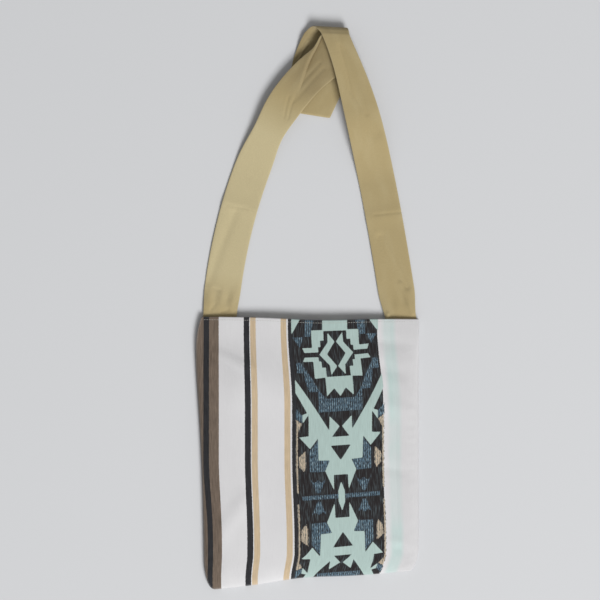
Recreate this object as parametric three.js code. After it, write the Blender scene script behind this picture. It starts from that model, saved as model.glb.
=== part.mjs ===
// A flat cloth crossbody bag, lying on its back with its long strap laid out above the mouth.
// The strap's spare length is folded down and up again behind the place where its two arms cross.
// Units are millimetres. +X runs across the bag, +Y from its bottom to the strap, +Z up out of its front.
import * as THREE from "three";

// Bag outline, seen from the front. The cloth hangs a little askew, so the left side reaches lower.
const MOUTH_WIDTH = 309;
const MOUTH_TILT = 3.6;
const LEFT_LENGTH = 390;
const RIGHT_LENGTH = 360;
const SIDE_SWELL = 9;
const SWELL_DEPTH = 58;
const SIDE_DRIFT = 4.5;
const CORNER_WIDTH = 13;
const CORNER_HEIGHT = 40;
const BOTTOM_RISE = 4.6;
const BOTTOM_RISE_AT = 0.45;
const BOTTOM_RISE_SPREAD = 0.2;
const MOUTH_SAG = 3.2;
const MOUTH_SAG_AT = 0.55;
const MOUTH_SAG_SPREAD = 0.2;
const MOUTH_SAG_DEPTH = 60;

// Fullness of the bag as it lies, and how square its sides and bottom are in section.
const FULLNESS = 15;
const FULL_FROM = 130;
const MOUTH_GAP = 6.5;
const SIDE_SQUARENESS = 4;
const BOTTOM_SQUARENESS = 8;
const WAVE_HEIGHT = 1.2;
const WAVE_COUNT = 1.5;
const WAVE_SLANT = 0.6;

// Cloth, lining and the way they are sewn.
const CLOTH = 1.2;
const LINING = 0.6;
const SEAM_GAP = 0.3;
const LINING_SLACK = 0.5;
const HEM_DEPTH = 10;
const SEAM_ALLOWANCE = 9;
const SEAM_EASE = 14;
const TURN_SLACK = 1.2;
const LINING_MOUTH_STEP = 3;
const LINING_EASE = 2.5;

// Strap, with its two ends tucked into the mouth.
const STRAP_WIDTH = 52;
const STRAP_THICKNESS = 2;
const STRAP_EDGE_THICKNESS = 1;
const STRAP_TUCK = 12;
const TUCK_CLEARANCE = 5;
const STRAP_INSET = 0.4;
const LEFT_BASE_WIDTH = 48;
const RIGHT_BASE_WIDTH = 44;
const BASE_EASE = 42;
const PLY_GAP = 1.4;
const CROSSING_GAP = 6;

// Where the strap folds, from the middle of the mouth, and how each fold line slopes, in degrees.
const TOP_FOLD = { at: new THREE.Vector2(35.9, 405.2), slope: -3 };
const LOW_FOLD = { at: new THREE.Vector2(1.3, 293), slope: -9 };
const CROSS_FOLD = { at: new THREE.Vector2(39.7, 370.9), slope: -44 };

// Directions of the strap's legs, in degrees from +X, and how far each end keeps to its direction.
const RIGHT_ARM = { leave: 99.5, leaveReach: 90, arrive: 113.6, arriveReach: 133 };
const UNDER_LEG = { leaveReach: 58, arrive: -83, arriveReach: 50 };
const MIDDLE_LEG = { reach: 30 };
const LEFT_ARM = { leaveReach: 124, arrive: -93, arriveReach: 120 };

// Each arm comes down to the surface over ARM_RISE, once it is ARM_LEVEL away from its fold.
const ARM_LEVEL = 112;
const ARM_RISE = 110;

// The right arm is gathered at the top fold. The left arm has a pleat with a hollow beside it, and is drawn
// in to a waist further on.
const NECK_WIDTH = 36;
const NECK_REACH = 90;
const NECK_LIFT = 3;
const WAIST_WIDTH = 44.4;
const WAIST_FROM_FOLD = 148;
const WAIST_REACH = 32;
const PLEAT_LIFT = 2.6;
const PLEAT_HOLLOW = 3.6;
const HOLLOW_FROM_PLEAT = 12;
const PLEAT_START = 4;
const PLEAT_END = 90;
const PLEAT_SPREAD = 7;
const PLEAT_FROM_MIDDLE = 24;
const PLEAT_PAST_MIDDLE = 11;

// The upper corner of the crossing fold is drawn up to a point beside the top fold, and the strap's edge
// curls up to a crest where it leaves the top fold.
const CORNER_DRAW = 12;
const CORNER_REACH = 11;
const CREST_LIFT = 6;
const CREST_REACH = 28;
const CREST_FROM_MIDDLE = 0.45;

// Creases across the arms, and puckers where they leave the mouth.
const CREASE_LIFT = 2.2;
const CREASE_SPREAD = 12;
const RIGHT_CREASE = 150;
const LEFT_CREASE = 160;
const PUCKER_LIFT = 1.6;
const PUCKER_REACH = 26;
const PUCKER_COUNT = 3;

// Fineness of the facets.
const PANEL_COLUMNS = 20;
const PANEL_ROWS = 20;
const BACK_COLUMNS = 4;
const BACK_ROWS = 16;
const LINING_COLUMNS = 14;
const LINING_ROWS = 14;
const TURN_STEPS = 3;
const STRAP_STEP = 11;
const STRAP_COLUMNS = 8;
const HAIRPIN_STEPS = 7;

const { clamp, lerp, smoothstep, degToRad } = THREE.MathUtils;
const turned = (degrees) => new THREE.Vector2(Math.cos(degToRad(degrees)), Math.sin(degToRad(degrees)));
const bump = (distance, spread) => Math.exp(-((distance / spread) ** 2));

// Heights of the layers, each the mid-surface above the surface that the bag lies on.
const PLY = CLOTH + SEAM_GAP;
const BACK_LEVEL = CLOTH / 2;
const TURN_RADIUS = CLOTH / 2 + TURN_SLACK;
const FRONT_ALLOWANCE_LEVEL = BACK_LEVEL + 2 * PLY;
const SEAM_RIM = FRONT_ALLOWANCE_LEVEL + TURN_RADIUS;
const STRAP_FLOOR = STRAP_THICKNESS / 2;
const STRAP_MOUTH_LEVEL = 2 * PLY + STRAP_THICKNESS / 2;
const LINING_HIGH = STRAP_MOUTH_LEVEL + STRAP_THICKNESS / 2 + SEAM_GAP + LINING / 2;
const LINING_LOW = CLOTH + SEAM_GAP + LINING / 2;
const HEM_RADIUS = PLY / 2;
const HEM_EDGE = HEM_RADIUS + CLOTH / 2;
const HEM_DROP = PLY + CLOTH / 2 + SEAM_GAP + LINING / 2;
const BODY_DROP = CLOTH / 2 + LINING_SLACK + LINING / 2;
const MOUTH_RIM = LINING_HIGH + LINING + SEAM_GAP + HEM_DROP;
const TUCK_END = STRAP_TUCK + TUCK_CLEARANCE;
const SEAM_START = TUCK_END + SEAM_EASE;

// Closed thin solid round a grid of mid-surface points. point(row, column) is the mid-surface,
// half(row, column) half the thickness there, and keeps(row, column) tells whether a cell is cloth.
function sheetSolid({ rows, columns, point, half, keeps = () => true }) {
  const line = (i) => Array.from({ length: columns }, (_, j) => point(i, j));
  const grid = Array.from({ length: rows }, (_, i) => line(i));
  const isKept = (i, j) => i >= 0 && j >= 0 && i < rows - 1 && j < columns - 1 && keeps(i, j);
  const normals = gridNormals(grid, isKept);
  const positions = [];
  const numbers = new Map();
  const vertex = (i, j, side) => {
    const key = `${i} ${j} ${side}`;
    if (!numbers.has(key)) {
      numbers.set(key, numbers.size);
      positions.push(...grid[i][j].clone().addScaledVector(normals[i][j], side * half(i, j)));
    }
    return numbers.get(key);
  };
  const upper = (i, j) => vertex(i, j, 1);
  const lower = (i, j) => vertex(i, j, -1);
  const triangles = [];
  const quad = (a, b, c, d) => triangles.push(a, b, c, a, c, d);
  for (let i = 0; i < rows - 1; i++) {
    for (let j = 0; j < columns - 1; j++) {
      if (!isKept(i, j)) continue;
      quad(upper(i, j), upper(i + 1, j), upper(i + 1, j + 1), upper(i, j + 1));
      quad(lower(i, j), lower(i, j + 1), lower(i + 1, j + 1), lower(i + 1, j));
      const wall = (i0, j0, i1, j1) => quad(upper(i0, j0), lower(i0, j0), lower(i1, j1), upper(i1, j1));
      if (!isKept(i, j - 1)) wall(i, j, i + 1, j);
      if (!isKept(i + 1, j)) wall(i + 1, j, i + 1, j + 1);
      if (!isKept(i, j + 1)) wall(i + 1, j + 1, i, j + 1);
      if (!isKept(i - 1, j)) wall(i, j + 1, i, j);
    }
  }
  const geometry = new THREE.BufferGeometry();
  geometry.setAttribute("position", new THREE.Float32BufferAttribute(positions, 3));
  geometry.setIndex(triangles);
  geometry.computeVertexNormals();
  return geometry;
}

// Unit normals of a grid's points, each the mean of the cells round it.
function gridNormals(grid, isKept) {
  const normals = grid.map((line) => line.map(() => new THREE.Vector3()));
  for (let i = 0; i < grid.length - 1; i++) {
    for (let j = 0; j < grid[0].length - 1; j++) {
      if (!isKept(i, j)) continue;
      const downRight = grid[i + 1][j + 1].clone().sub(grid[i][j]);
      const upRight = grid[i][j + 1].clone().sub(grid[i + 1][j]);
      const facing = downRight.cross(upRight);
      for (const [di, dj] of [[0, 0], [1, 0], [0, 1], [1, 1]]) normals[i + di][j + dj].add(facing);
    }
  }
  normals.forEach((line) => line.forEach((normal) => normal.normalize()));
  return normals;
}

// How far the rounded bottom corner draws a side edge in at a depth below the mouth.
function cornerInset(depth, length) {
  const reach = clamp((depth - (length - CORNER_HEIGHT)) / CORNER_HEIGHT, 0, 1);
  return CORNER_WIDTH * (1 - Math.sqrt(1 - reach * reach));
}

// Side edges in plan. down runs from 0 at the mouth to 1 at the bottom.
function leftEdge(down) {
  const depth = down * LEFT_LENGTH;
  const ratio = Math.max(depth, 0) / SWELL_DEPTH;
  const swell = SIDE_SWELL * ratio * Math.exp(1 - ratio);
  const x = -MOUTH_WIDTH / 2 - swell + SIDE_DRIFT * down + cornerInset(depth, LEFT_LENGTH);
  return new THREE.Vector2(x, MOUTH_TILT / 2 - depth);
}

function rightEdge(down) {
  const depth = down * RIGHT_LENGTH;
  return new THREE.Vector2(MOUTH_WIDTH / 2 - cornerInset(depth, RIGHT_LENGTH), -MOUTH_TILT / 2 - depth);
}

// Plan of the bag, whose mouth sags and whose bottom rises near the middle.
// across runs from 0 at the left side to 1 at the right side.
function bagPlan(across, down) {
  const spot = leftEdge(down).lerp(rightEdge(down), across);
  const nearMouth = 1 - smoothstep(depthAt(down), 0, MOUTH_SAG_DEPTH);
  spot.y += BOTTOM_RISE * bump(across - BOTTOM_RISE_AT, BOTTOM_RISE_SPREAD) * down ** 4;
  spot.y -= MOUTH_SAG * bump(across - MOUTH_SAG_AT, MOUTH_SAG_SPREAD) * nearMouth;
  return spot;
}

const bagWidth = (down) => rightEdge(down).x - leftEdge(down).x;
const bagLength = (across) => lerp(LEFT_LENGTH, RIGHT_LENGTH, across);

// Depth below the mouth, taken down the middle of the bag.
const MIDDLE_LENGTH = (LEFT_LENGTH + RIGHT_LENGTH) / 2;
const depthAt = (down) => clamp(down, 0, 1) * MIDDLE_LENGTH;

// Cross profiles of the bag: a low arch at the mouth, a pillow with round sides further down.
const roundOff = (share, squareness) => Math.sqrt(Math.max(0, 1 - Math.abs(share) ** squareness));
const archProfile = (across) => 1 - (2 * across - 1) ** 2;
const pillowProfile = (across) => roundOff(2 * across - 1, SIDE_SQUARENESS);
const bottomClosing = (down) => roundOff(clamp(down, 0, 1), BOTTOM_SQUARENESS);

// Share of the side seam's full hold that a depth has: none at the strap ends, all of it below them.
const seamTaken = (depth) => smoothstep(depth, TUCK_END, SEAM_START);

// Height of the front panel's edge where the side seam holds it, and of its middle.
const edgeHeight = (depth) => lerp(MOUTH_RIM, SEAM_RIM, seamTaken(depth));
const openness = (depth) => smoothstep(depth, 0, FULL_FROM);
const middleHeight = (depth) => lerp(MOUTH_RIM + MOUTH_GAP, SEAM_RIM + FULLNESS, openness(depth));

// Shallow folds that run down the front.
function frontWave(across, down) {
  const turn = 2 * Math.PI * (WAVE_COUNT * across + WAVE_SLANT * down);
  return WAVE_HEIGHT * archProfile(across) * openness(depthAt(down)) * Math.sin(turn);
}

// Height of the front panel's mid-surface.
function frontHeight(across, down) {
  const depth = depthAt(down);
  const edge = edgeHeight(depth);
  const profile = lerp(archProfile(across), pillowProfile(across), seamTaken(depth));
  const crown = (middleHeight(depth) - edge) * profile + frontWave(across, down);
  return edge + crown * bottomClosing(down);
}

// Cloth past a rim: a quarter turn down, then straight inwards.
function rimTurn(past, radius) {
  const bend = Math.min(past / radius, Math.PI / 2);
  const straight = past - bend * radius;
  return { inward: radius * (1 - Math.cos(bend)) + straight, drop: radius * Math.sin(bend) };
}

// Cloth past a folded edge: half a turn, then straight back under itself.
function edgeTurn(past, radius) {
  const bend = Math.min(past / radius, Math.PI);
  const straight = past - bend * radius;
  return { outward: radius * Math.sin(bend) - straight, drop: radius * (1 - Math.cos(bend)) };
}

// Distances past an edge at which a turned strip of cloth has a line of points, furthest first.
function turnLines(radius, angle, straight) {
  const bends = Array.from({ length: TURN_STEPS }, (_, k) => (radius * angle * (k + 1)) / TURN_STEPS);
  return [...bends, bends.at(-1) + straight].reverse();
}

// Lines of a panel in one direction: a turned strip before it, the panel itself, a turned strip after it.
function panelLines(before, main, after) {
  return [
    ...before.map((past) => ({ at: main[0], past, strip: "before" })),
    ...main.map((at) => ({ at, past: 0, strip: "main" })),
    ...[...after].reverse().map((past) => ({ at: 1, past, strip: "after" })),
  ];
}

// Places from 0 to 1 that crowd towards both ends.
function crowdedColumns(count) {
  return Array.from({ length: count + 1 }, (_, k) => (1 - Math.cos((Math.PI * k) / count)) / 2);
}

// Depths of a panel's lines: close where the mouth narrows to the seams, and crowding towards its bottom.
function crowdedDepths(first, last, count) {
  const seamDepths = [TUCK_END, (TUCK_END + SEAM_START) / 2, SEAM_START];
  const lower = Array.from({ length: count }, (_, k) => Math.sin((Math.PI * (k + 1)) / count / 2));
  return [first, ...seamDepths, ...lower.map((share) => lerp(SEAM_START, last, share))];
}

// Shares of the way down of a panel's lines, from the hem's fold, which ends at the mouth, to the bottom.
function panelDowns(count) {
  return crowdedDepths(HEM_EDGE, MIDDLE_LENGTH, count).map((depth) => depth / MIDDLE_LENGTH);
}

// Panel cells that are cloth: the whole face, the mouth hem, and the allowances clear of mouth and corners.
function panelKeeps(lineRows, lineColumns) {
  return (i, j) => {
    const row = [lineRows[i], lineRows[i + 1]];
    const column = [lineColumns[j], lineColumns[j + 1]];
    const sideStrip = column.some((line) => line.strip !== "main");
    const endStrip = row.some((line) => line.strip !== "main");
    if (sideStrip && endStrip) return false;
    const isBelowMouth = ({ at }) => depthAt(at) > (TUCK_END + SEAM_START) / 2;
    const inSeam = (line) => isBelowMouth(line) && depthAt(line.at) < MIDDLE_LENGTH - CORNER_HEIGHT;
    if (sideStrip) return row.every(inSeam);
    const atBottom = row.some((line) => line.strip === "after");
    const inCorner = ({ at }) => Math.min(at, 1 - at) * MOUTH_WIDTH < SEAM_ALLOWANCE + CORNER_WIDTH;
    return !(atBottom && column.some(inCorner));
  };
}

// Outer front: pillowed face, hem turned in at the mouth, allowances turned in at the sides and bottom.
function frontPanel() {
  const seamLines = turnLines(TURN_RADIUS, Math.PI / 2, SEAM_ALLOWANCE);
  const hemLines = turnLines(HEM_RADIUS, Math.PI, HEM_DEPTH);
  const rows = panelLines(hemLines, panelDowns(PANEL_ROWS), seamLines);
  const columns = panelLines(seamLines, crowdedColumns(PANEL_COLUMNS), seamLines);
  const point = (i, j) => {
    const row = rows[i];
    const column = columns[j];
    const hem = row.strip === "before" ? edgeTurn(row.past, HEM_RADIUS) : { outward: 0, drop: 0 };
    const bottom = row.strip === "after" ? rimTurn(row.past, TURN_RADIUS) : { inward: 0, drop: 0 };
    const side = rimTurn(column.past, TURN_RADIUS);
    const down = row.at - (hem.outward + bottom.inward) / bagLength(column.at);
    const towards = column.strip === "after" ? -1 : 1;
    const across = column.at + (towards * side.inward) / bagWidth(row.at);
    const spot = bagPlan(across, down);
    const height = frontHeight(column.at, row.strip === "before" ? down : row.at);
    return new THREE.Vector3(spot.x, spot.y, height - hem.drop - bottom.drop - side.drop);
  };
  return sheetSolid({
    rows: rows.length,
    columns: columns.length,
    point,
    half: () => CLOTH / 2,
    keeps: panelKeeps(rows, columns),
  });
}

// Outer back: flat on the surface, with its hem and allowances folded up onto it.
function backPanel() {
  const hemLines = turnLines(HEM_RADIUS, Math.PI, HEM_DEPTH);
  const seamLines = turnLines(HEM_RADIUS, Math.PI, SEAM_ALLOWANCE);
  const rows = panelLines(hemLines, panelDowns(BACK_ROWS), seamLines);
  const columns = panelLines(seamLines, crowdedColumns(BACK_COLUMNS), seamLines);
  const point = (i, j) => {
    const row = rows[i];
    const column = columns[j];
    const end = edgeTurn(row.past, HEM_RADIUS);
    const side = edgeTurn(column.past, HEM_RADIUS);
    const endwise = end.outward / bagLength(column.at);
    const sidewise = side.outward / bagWidth(row.at);
    const down = row.at + (row.strip === "before" ? -endwise : endwise);
    const across = column.at + (column.strip === "before" ? -sidewise : sidewise);
    const spot = bagPlan(across, down);
    return new THREE.Vector3(spot.x, spot.y, BACK_LEVEL + end.drop + side.drop);
  };
  return sheetSolid({
    rows: rows.length,
    columns: columns.length,
    point,
    half: () => CLOTH / 2,
    keeps: panelKeeps(rows, columns),
  });
}

// Lining edges: inside the hem at the mouth, inside the allowances below.
const LINING_INSET = SEAM_ALLOWANCE + LINING_EASE;
const LINING_BOTTOM = MIDDLE_LENGTH - LINING_INSET;

// Where a lining point lies on the outer panels.
function liningSpot(across, depth) {
  const down = depth / MIDDLE_LENGTH;
  const inset = lerp(LINING_MOUTH_STEP, LINING_INSET, seamTaken(depth));
  const share = inset / bagWidth(down);
  return { across: lerp(share, 1 - share, across), down };
}

// Height of the back lining: over the strap ends at the mouth, then down onto the back.
function backLiningHeight(depth) {
  return lerp(LINING_HIGH, LINING_LOW, seamTaken(depth));
}

// The front lining hangs under the front panel and comes down onto the back lining at its edges.
function frontLiningHeight(depth, across) {
  const spot = liningSpot(across, depth);
  const seat = backLiningHeight(depth) + LINING + SEAM_GAP;
  const drop = lerp(HEM_DROP, BODY_DROP, smoothstep(depth, HEM_DEPTH, FULL_FROM));
  const down = (depth - LINING_MOUTH_STEP) / (LINING_BOTTOM - LINING_MOUTH_STEP);
  const share = lerp(1, pillowProfile(across), openness(depth)) * bottomClosing(down);
  return seat + Math.max(0, frontHeight(spot.across, spot.down) - drop - seat) * share;
}

// One lining panel from its height above the surface.
function liningPanel(height) {
  const depths = crowdedDepths(LINING_MOUTH_STEP, LINING_BOTTOM, LINING_ROWS);
  const acrosses = crowdedColumns(LINING_COLUMNS);
  const point = (i, j) => {
    const spot = liningSpot(acrosses[j], depths[i]);
    const plan = bagPlan(spot.across, spot.down);
    return new THREE.Vector3(plan.x, plan.y, height(depths[i], acrosses[j]));
  };
  return sheetSolid({ rows: depths.length, columns: acrosses.length, point, half: () => LINING / 2 });
}

// Heights of the strap's plies where they lie on each other, lowest first.
const STRAP_PLY = STRAP_THICKNESS + PLY_GAP;
const UNDER_LEVEL = STRAP_FLOOR;
const MIDDLE_LEVEL = UNDER_LEVEL + STRAP_PLY;
const CROSSING_PLY = STRAP_THICKNESS + CROSSING_GAP;
const LEFT_LEVEL = MIDDLE_LEVEL + CROSSING_PLY;
const RIGHT_LEVEL = LEFT_LEVEL + CROSSING_PLY;

// Smooth plan curve of a strap leg that leaves and arrives in given directions.
function legCurve(from, leave, leaveReach, to, arrive, arriveReach) {
  const leaving = from.clone().addScaledVector(leave, leaveReach);
  const arriving = to.clone().addScaledVector(arrive, -arriveReach);
  return new THREE.CubicBezierCurve(from, leaving, arriving, to);
}

// Turn of the line across the strap from square to the fold's own direction, close to that fold.
function foldSkew(square, fold, distance) {
  if (!fold) return 0;
  const whole = Math.atan2(square.cross(fold), square.dot(fold));
  return whole * (1 - smoothstep(distance, 0, STRAP_WIDTH));
}

// Stations of a leg: centre, direction of the line across the strap, half its length, height, lift, and how
// far its first edge is drawn up.
// side is 1 where that line points to the right of the way the leg runs, and -1 where it points left.
function legStations({ curve, side, startFold, endFold, width, height, lift, draw = () => 0 }) {
  const length = curve.getLength();
  const count = Math.ceil(length / STRAP_STEP);
  return Array.from({ length: count + 1 }, (_, k) => {
    const done = (length * k) / count;
    const left = length - done;
    const way = curve.getTangentAt(k / count);
    const square = new THREE.Vector2(way.y, -way.x).multiplyScalar(side);
    const skew = foldSkew(square, startFold, done) + foldSkew(square, endFold, left);
    return {
      centre: curve.getPointAt(k / count),
      line: square.clone().rotateAround(new THREE.Vector2(), skew),
      half: width(done, left) / 2 / Math.cos(skew),
      height: height(done, left),
      lift: (share) => lift(done, left, share),
      draw: draw(done, left),
    };
  });
}

// Share of a crest's lift across the strap: none at its middle, all of it at its first edge.
const crestShare = (share) => smoothstep(-share, CREST_FROM_MIDDLE, 1);

// Stations of a hairpin fold between two heights, and the point and direction in which it comes out.
// It starts at the given width and comes out at the strap's full width, with its first edge lifted by crest.
function hairpin({ at, slope }, way, start, end, { width = STRAP_WIDTH, draw = 0, crest = 0 } = {}) {
  const fold = turned(slope);
  const radius = Math.abs(end - start) / 2;
  const outward = new THREE.Vector2(-fold.y, fold.x);
  if (outward.dot(way) < 0) outward.negate();
  const slide = way.dot(fold) / way.dot(outward);
  const stations = Array.from({ length: HAIRPIN_STEPS + 1 }, (_, k) => {
    const bend = (Math.PI * k) / HAIRPIN_STEPS;
    const reach = radius * Math.sin(bend);
    const centre = at.clone().addScaledVector(outward, reach).addScaledVector(fold, slide * radius * bend);
    const height = (start + end) / 2 + ((start - end) / 2) * Math.cos(bend);
    const turn = k / HAIRPIN_STEPS;
    const half = lerp(width, STRAP_WIDTH, turn) / 2 / way.dot(outward);
    return { centre, line: fold, half, height, lift: (share) => crest * turn * crestShare(share), draw };
  });
  const back = way.clone().addScaledVector(outward, -2 * way.dot(outward));
  return { fold, back, stations: stations.slice(1, -1), exit: stations.at(-1).centre };
}

// Height of an arm: out of the mouth, along the surface, and up onto the folded plies.
function armHeight(fromTuck, fromFold, level) {
  const leaving = smoothstep(fromTuck, STRAP_TUCK + STRAP_STEP, STRAP_TUCK + BASE_EASE);
  const rising = 1 - smoothstep(fromFold, ARM_LEVEL, ARM_LEVEL + ARM_RISE);
  return lerp(STRAP_MOUTH_LEVEL, STRAP_FLOOR, leaving) + (level - STRAP_FLOOR) * rising;
}

// Puckers where an arm leaves the mouth, and one crease across it.
function armLift(fromTuck, share, crease) {
  const fromMouth = fromTuck - STRAP_TUCK;
  const ridges = Math.cos((PUCKER_COUNT * Math.PI * share) / 2) ** 2;
  const pucker = PUCKER_LIFT * bump(fromMouth - PUCKER_REACH, PUCKER_REACH / 2) * ridges;
  return pucker + CREASE_LIFT * bump(fromMouth - crease, CREASE_SPREAD);
}

// Middle of an arm's tucked end, on the left or right side of the mouth.
function tuckedEnd(side, baseWidth) {
  const x = side * (MOUTH_WIDTH / 2 - STRAP_INSET - baseWidth / 2);
  return new THREE.Vector2(x, (-side * MOUTH_TILT) / 2 - STRAP_TUCK);
}

// Share of the full width that an arm has reached at a distance from its tucked end.
const baseGrowth = (fromTuck) => smoothstep(fromTuck, STRAP_TUCK, STRAP_TUCK + BASE_EASE);

// The right arm, gathered to a narrow hollow neck at the top fold.
function rightArm() {
  const from = tuckedEnd(1, RIGHT_BASE_WIDTH);
  const { leave, leaveReach, arrive, arriveReach } = RIGHT_ARM;
  const neck = (left) => bump(left, NECK_REACH);
  const drawnIn = STRAP_WIDTH - NECK_WIDTH;
  const hollow = (left, share) => share ** 2 * neck(left) * smoothstep(left, 0, NECK_REACH);
  return {
    curve: legCurve(from, turned(leave), leaveReach, TOP_FOLD.at, turned(arrive), arriveReach),
    width: (done, left) => lerp(RIGHT_BASE_WIDTH, STRAP_WIDTH, baseGrowth(done)) - drawnIn * neck(left),
    height: (done, left) => armHeight(done, left, RIGHT_LEVEL),
    lift: (done, left, share) => armLift(done, share, RIGHT_CREASE) + NECK_LIFT * hollow(left, share),
  };
}

// How far the crossing fold's upper corner is drawn up at a distance from that fold.
const cornerDraw = (fromFold) => CORNER_DRAW * bump(fromFold, CORNER_REACH);

// The left arm, with a pleat that runs from its upper edge at the crossing past its middle, and a hollow on
// the pleat's lower side.
function leftArm(cross) {
  const to = tuckedEnd(-1, LEFT_BASE_WIDTH);
  const { leaveReach, arrive, arriveReach } = LEFT_ARM;
  const pleat = (done, share) => {
    const along = clamp((done - PLEAT_START) / (PLEAT_END - PLEAT_START), 0, 1);
    const ridge = lerp(-PLEAT_FROM_MIDDLE, PLEAT_PAST_MIDDLE, along);
    const beside = (share * STRAP_WIDTH) / 2 - ridge;
    const raised = PLEAT_LIFT * bump(beside, PLEAT_SPREAD);
    const sunk = PLEAT_HOLLOW * bump(beside - HOLLOW_FROM_PLEAT, PLEAT_SPREAD);
    return (raised - sunk) * Math.sin(Math.PI * Math.sqrt(along));
  };
  const waist = (done) => (STRAP_WIDTH - WAIST_WIDTH) * bump(done - WAIST_FROM_FOLD, WAIST_REACH);
  return {
    curve: legCurve(cross.exit, cross.back, leaveReach, to, turned(arrive), arriveReach),
    width: (done, left) => lerp(LEFT_BASE_WIDTH, STRAP_WIDTH, baseGrowth(left)) - waist(done),
    height: (done, left) => armHeight(left, done, LEFT_LEVEL),
    lift: (done, left, share) => armLift(left, share, LEFT_CREASE) + pleat(done, share),
    draw: cornerDraw,
  };
}

// The whole strap, from inside the right end of the mouth to inside its left end.
function strapStations() {
  const plain = { width: () => STRAP_WIDTH, lift: () => 0 };
  const crest = (done, left, share) => CREST_LIFT * bump(done, CREST_REACH) * crestShare(share);
  const neck = { width: NECK_WIDTH, crest: CREST_LIFT };
  const top = hairpin(TOP_FOLD, turned(RIGHT_ARM.arrive), RIGHT_LEVEL, UNDER_LEVEL, neck);
  const lowWay = turned(UNDER_LEG.arrive);
  const { leaveReach, arriveReach } = UNDER_LEG;
  const underCurve = legCurve(top.exit, top.back, leaveReach, LOW_FOLD.at, lowWay, arriveReach);
  const low = hairpin(LOW_FOLD, lowWay, UNDER_LEVEL, MIDDLE_LEVEL);
  const crossWay = CROSS_FOLD.at.clone().sub(low.exit).normalize();
  const { reach } = MIDDLE_LEG;
  const middleCurve = legCurve(low.exit, low.back, reach, CROSS_FOLD.at, crossWay, reach);
  const cross = hairpin(CROSS_FOLD, crossWay, MIDDLE_LEVEL, LEFT_LEVEL, { draw: cornerDraw(0) });
  const underLeg = { ...plain, curve: underCurve, height: () => UNDER_LEVEL, lift: crest };
  const middleDraw = (done, left) => cornerDraw(left);
  const middleLeg = { ...plain, curve: middleCurve, height: () => MIDDLE_LEVEL, draw: middleDraw };
  return [
    ...legStations({ ...rightArm(), side: 1, endFold: top.fold }),
    ...top.stations,
    ...legStations({ ...underLeg, side: -1, startFold: top.fold, endFold: low.fold }),
    ...low.stations,
    ...legStations({ ...middleLeg, side: 1, startFold: low.fold, endFold: cross.fold }),
    ...cross.stations,
    ...legStations({ ...leftArm(cross), side: -1, startFold: cross.fold }),
  ];
}

// The strap as one folded band with thinner edges.
function strapBand() {
  const stations = strapStations();
  const point = (i, j) => {
    const { centre, line, half, height, lift, draw } = stations[i];
    const share = (2 * j) / STRAP_COLUMNS - 1;
    const spot = centre.clone().addScaledVector(line, half * share);
    spot.y += draw * smoothstep(-share, 0, 1);
    return new THREE.Vector3(spot.x, spot.y, height + lift(share));
  };
  const isEdge = (j) => j === 0 || j === STRAP_COLUMNS;
  return sheetSolid({
    rows: stations.length,
    columns: STRAP_COLUMNS + 1,
    point,
    half: (i, j) => (isEdge(j) ? STRAP_EDGE_THICKNESS : STRAP_THICKNESS) / 2,
  });
}

// Finishes.
const DRY = 0.93;
const cottonFinish = (color) => new THREE.MeshStandardMaterial({ color, roughness: DRY, metalness: 0 });
const WOVEN_WHITE = 0xd7d6d8;
const LINING_BUFF = 0xb9ab86;
const STRAP_KHAKI = 0xb0a176;

function piece(name, geometry, material) {
  const mesh = new THREE.Mesh(geometry, material);
  mesh.name = name;
  return mesh;
}

// The pieces, laid out in the bag's own frame and then moved so that the origin is under their middle.
const layout = new THREE.Group();
layout.add(
  piece("front_panel", frontPanel(), cottonFinish(WOVEN_WHITE)),
  piece("back_panel", backPanel(), cottonFinish(WOVEN_WHITE)),
  piece("front_lining", liningPanel(frontLiningHeight), cottonFinish(LINING_BUFF)),
  piece("back_lining", liningPanel(backLiningHeight), cottonFinish(LINING_BUFF)),
  piece("strap", strapBand(), cottonFinish(STRAP_KHAKI)),
);
const middle = new THREE.Box3().setFromObject(layout).getCenter(new THREE.Vector3());
layout.position.set(-middle.x, -middle.y, 0);

const bag = new THREE.Group();
bag.add(layout);

export default bag;
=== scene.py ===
"""A flat woven crossbody bag lying on its back, with its long strap folded above the mouth.

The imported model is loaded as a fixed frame. Each cloth of the bag is worked out again as a fine sheet in the
place of its solid, with its own weave, stripes, folds and stitching. Lengths are millimetres unless a name
says otherwise, measured from the middle of the mouth line, and are turned into the frame's metres as a mesh
is made.
"""

import logging
import math
from collections.abc import Callable
from dataclasses import dataclass, field, fields
from enum import Enum

import bpy
import numpy as np
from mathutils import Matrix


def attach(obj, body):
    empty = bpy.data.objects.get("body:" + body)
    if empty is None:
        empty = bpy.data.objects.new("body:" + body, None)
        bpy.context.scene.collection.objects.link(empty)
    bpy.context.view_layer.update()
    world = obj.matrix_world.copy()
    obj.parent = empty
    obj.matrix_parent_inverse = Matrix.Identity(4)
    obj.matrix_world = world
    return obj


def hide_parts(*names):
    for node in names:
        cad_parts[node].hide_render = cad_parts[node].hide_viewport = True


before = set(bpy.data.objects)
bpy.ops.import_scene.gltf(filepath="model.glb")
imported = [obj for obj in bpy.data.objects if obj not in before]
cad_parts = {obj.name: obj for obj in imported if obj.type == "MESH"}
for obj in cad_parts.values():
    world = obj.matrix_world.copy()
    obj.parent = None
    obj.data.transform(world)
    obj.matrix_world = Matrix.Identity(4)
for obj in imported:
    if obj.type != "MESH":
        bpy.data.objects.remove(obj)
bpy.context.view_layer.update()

LOG = logging.getLogger("crossbody_bag")

Array = np.ndarray
AtPlaces = Callable[[Array, Array], Array]
Socket = bpy.types.NodeSocket
Colour = tuple[float, float, float, float]
Carry = tuple[float, float, float, float]

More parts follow.
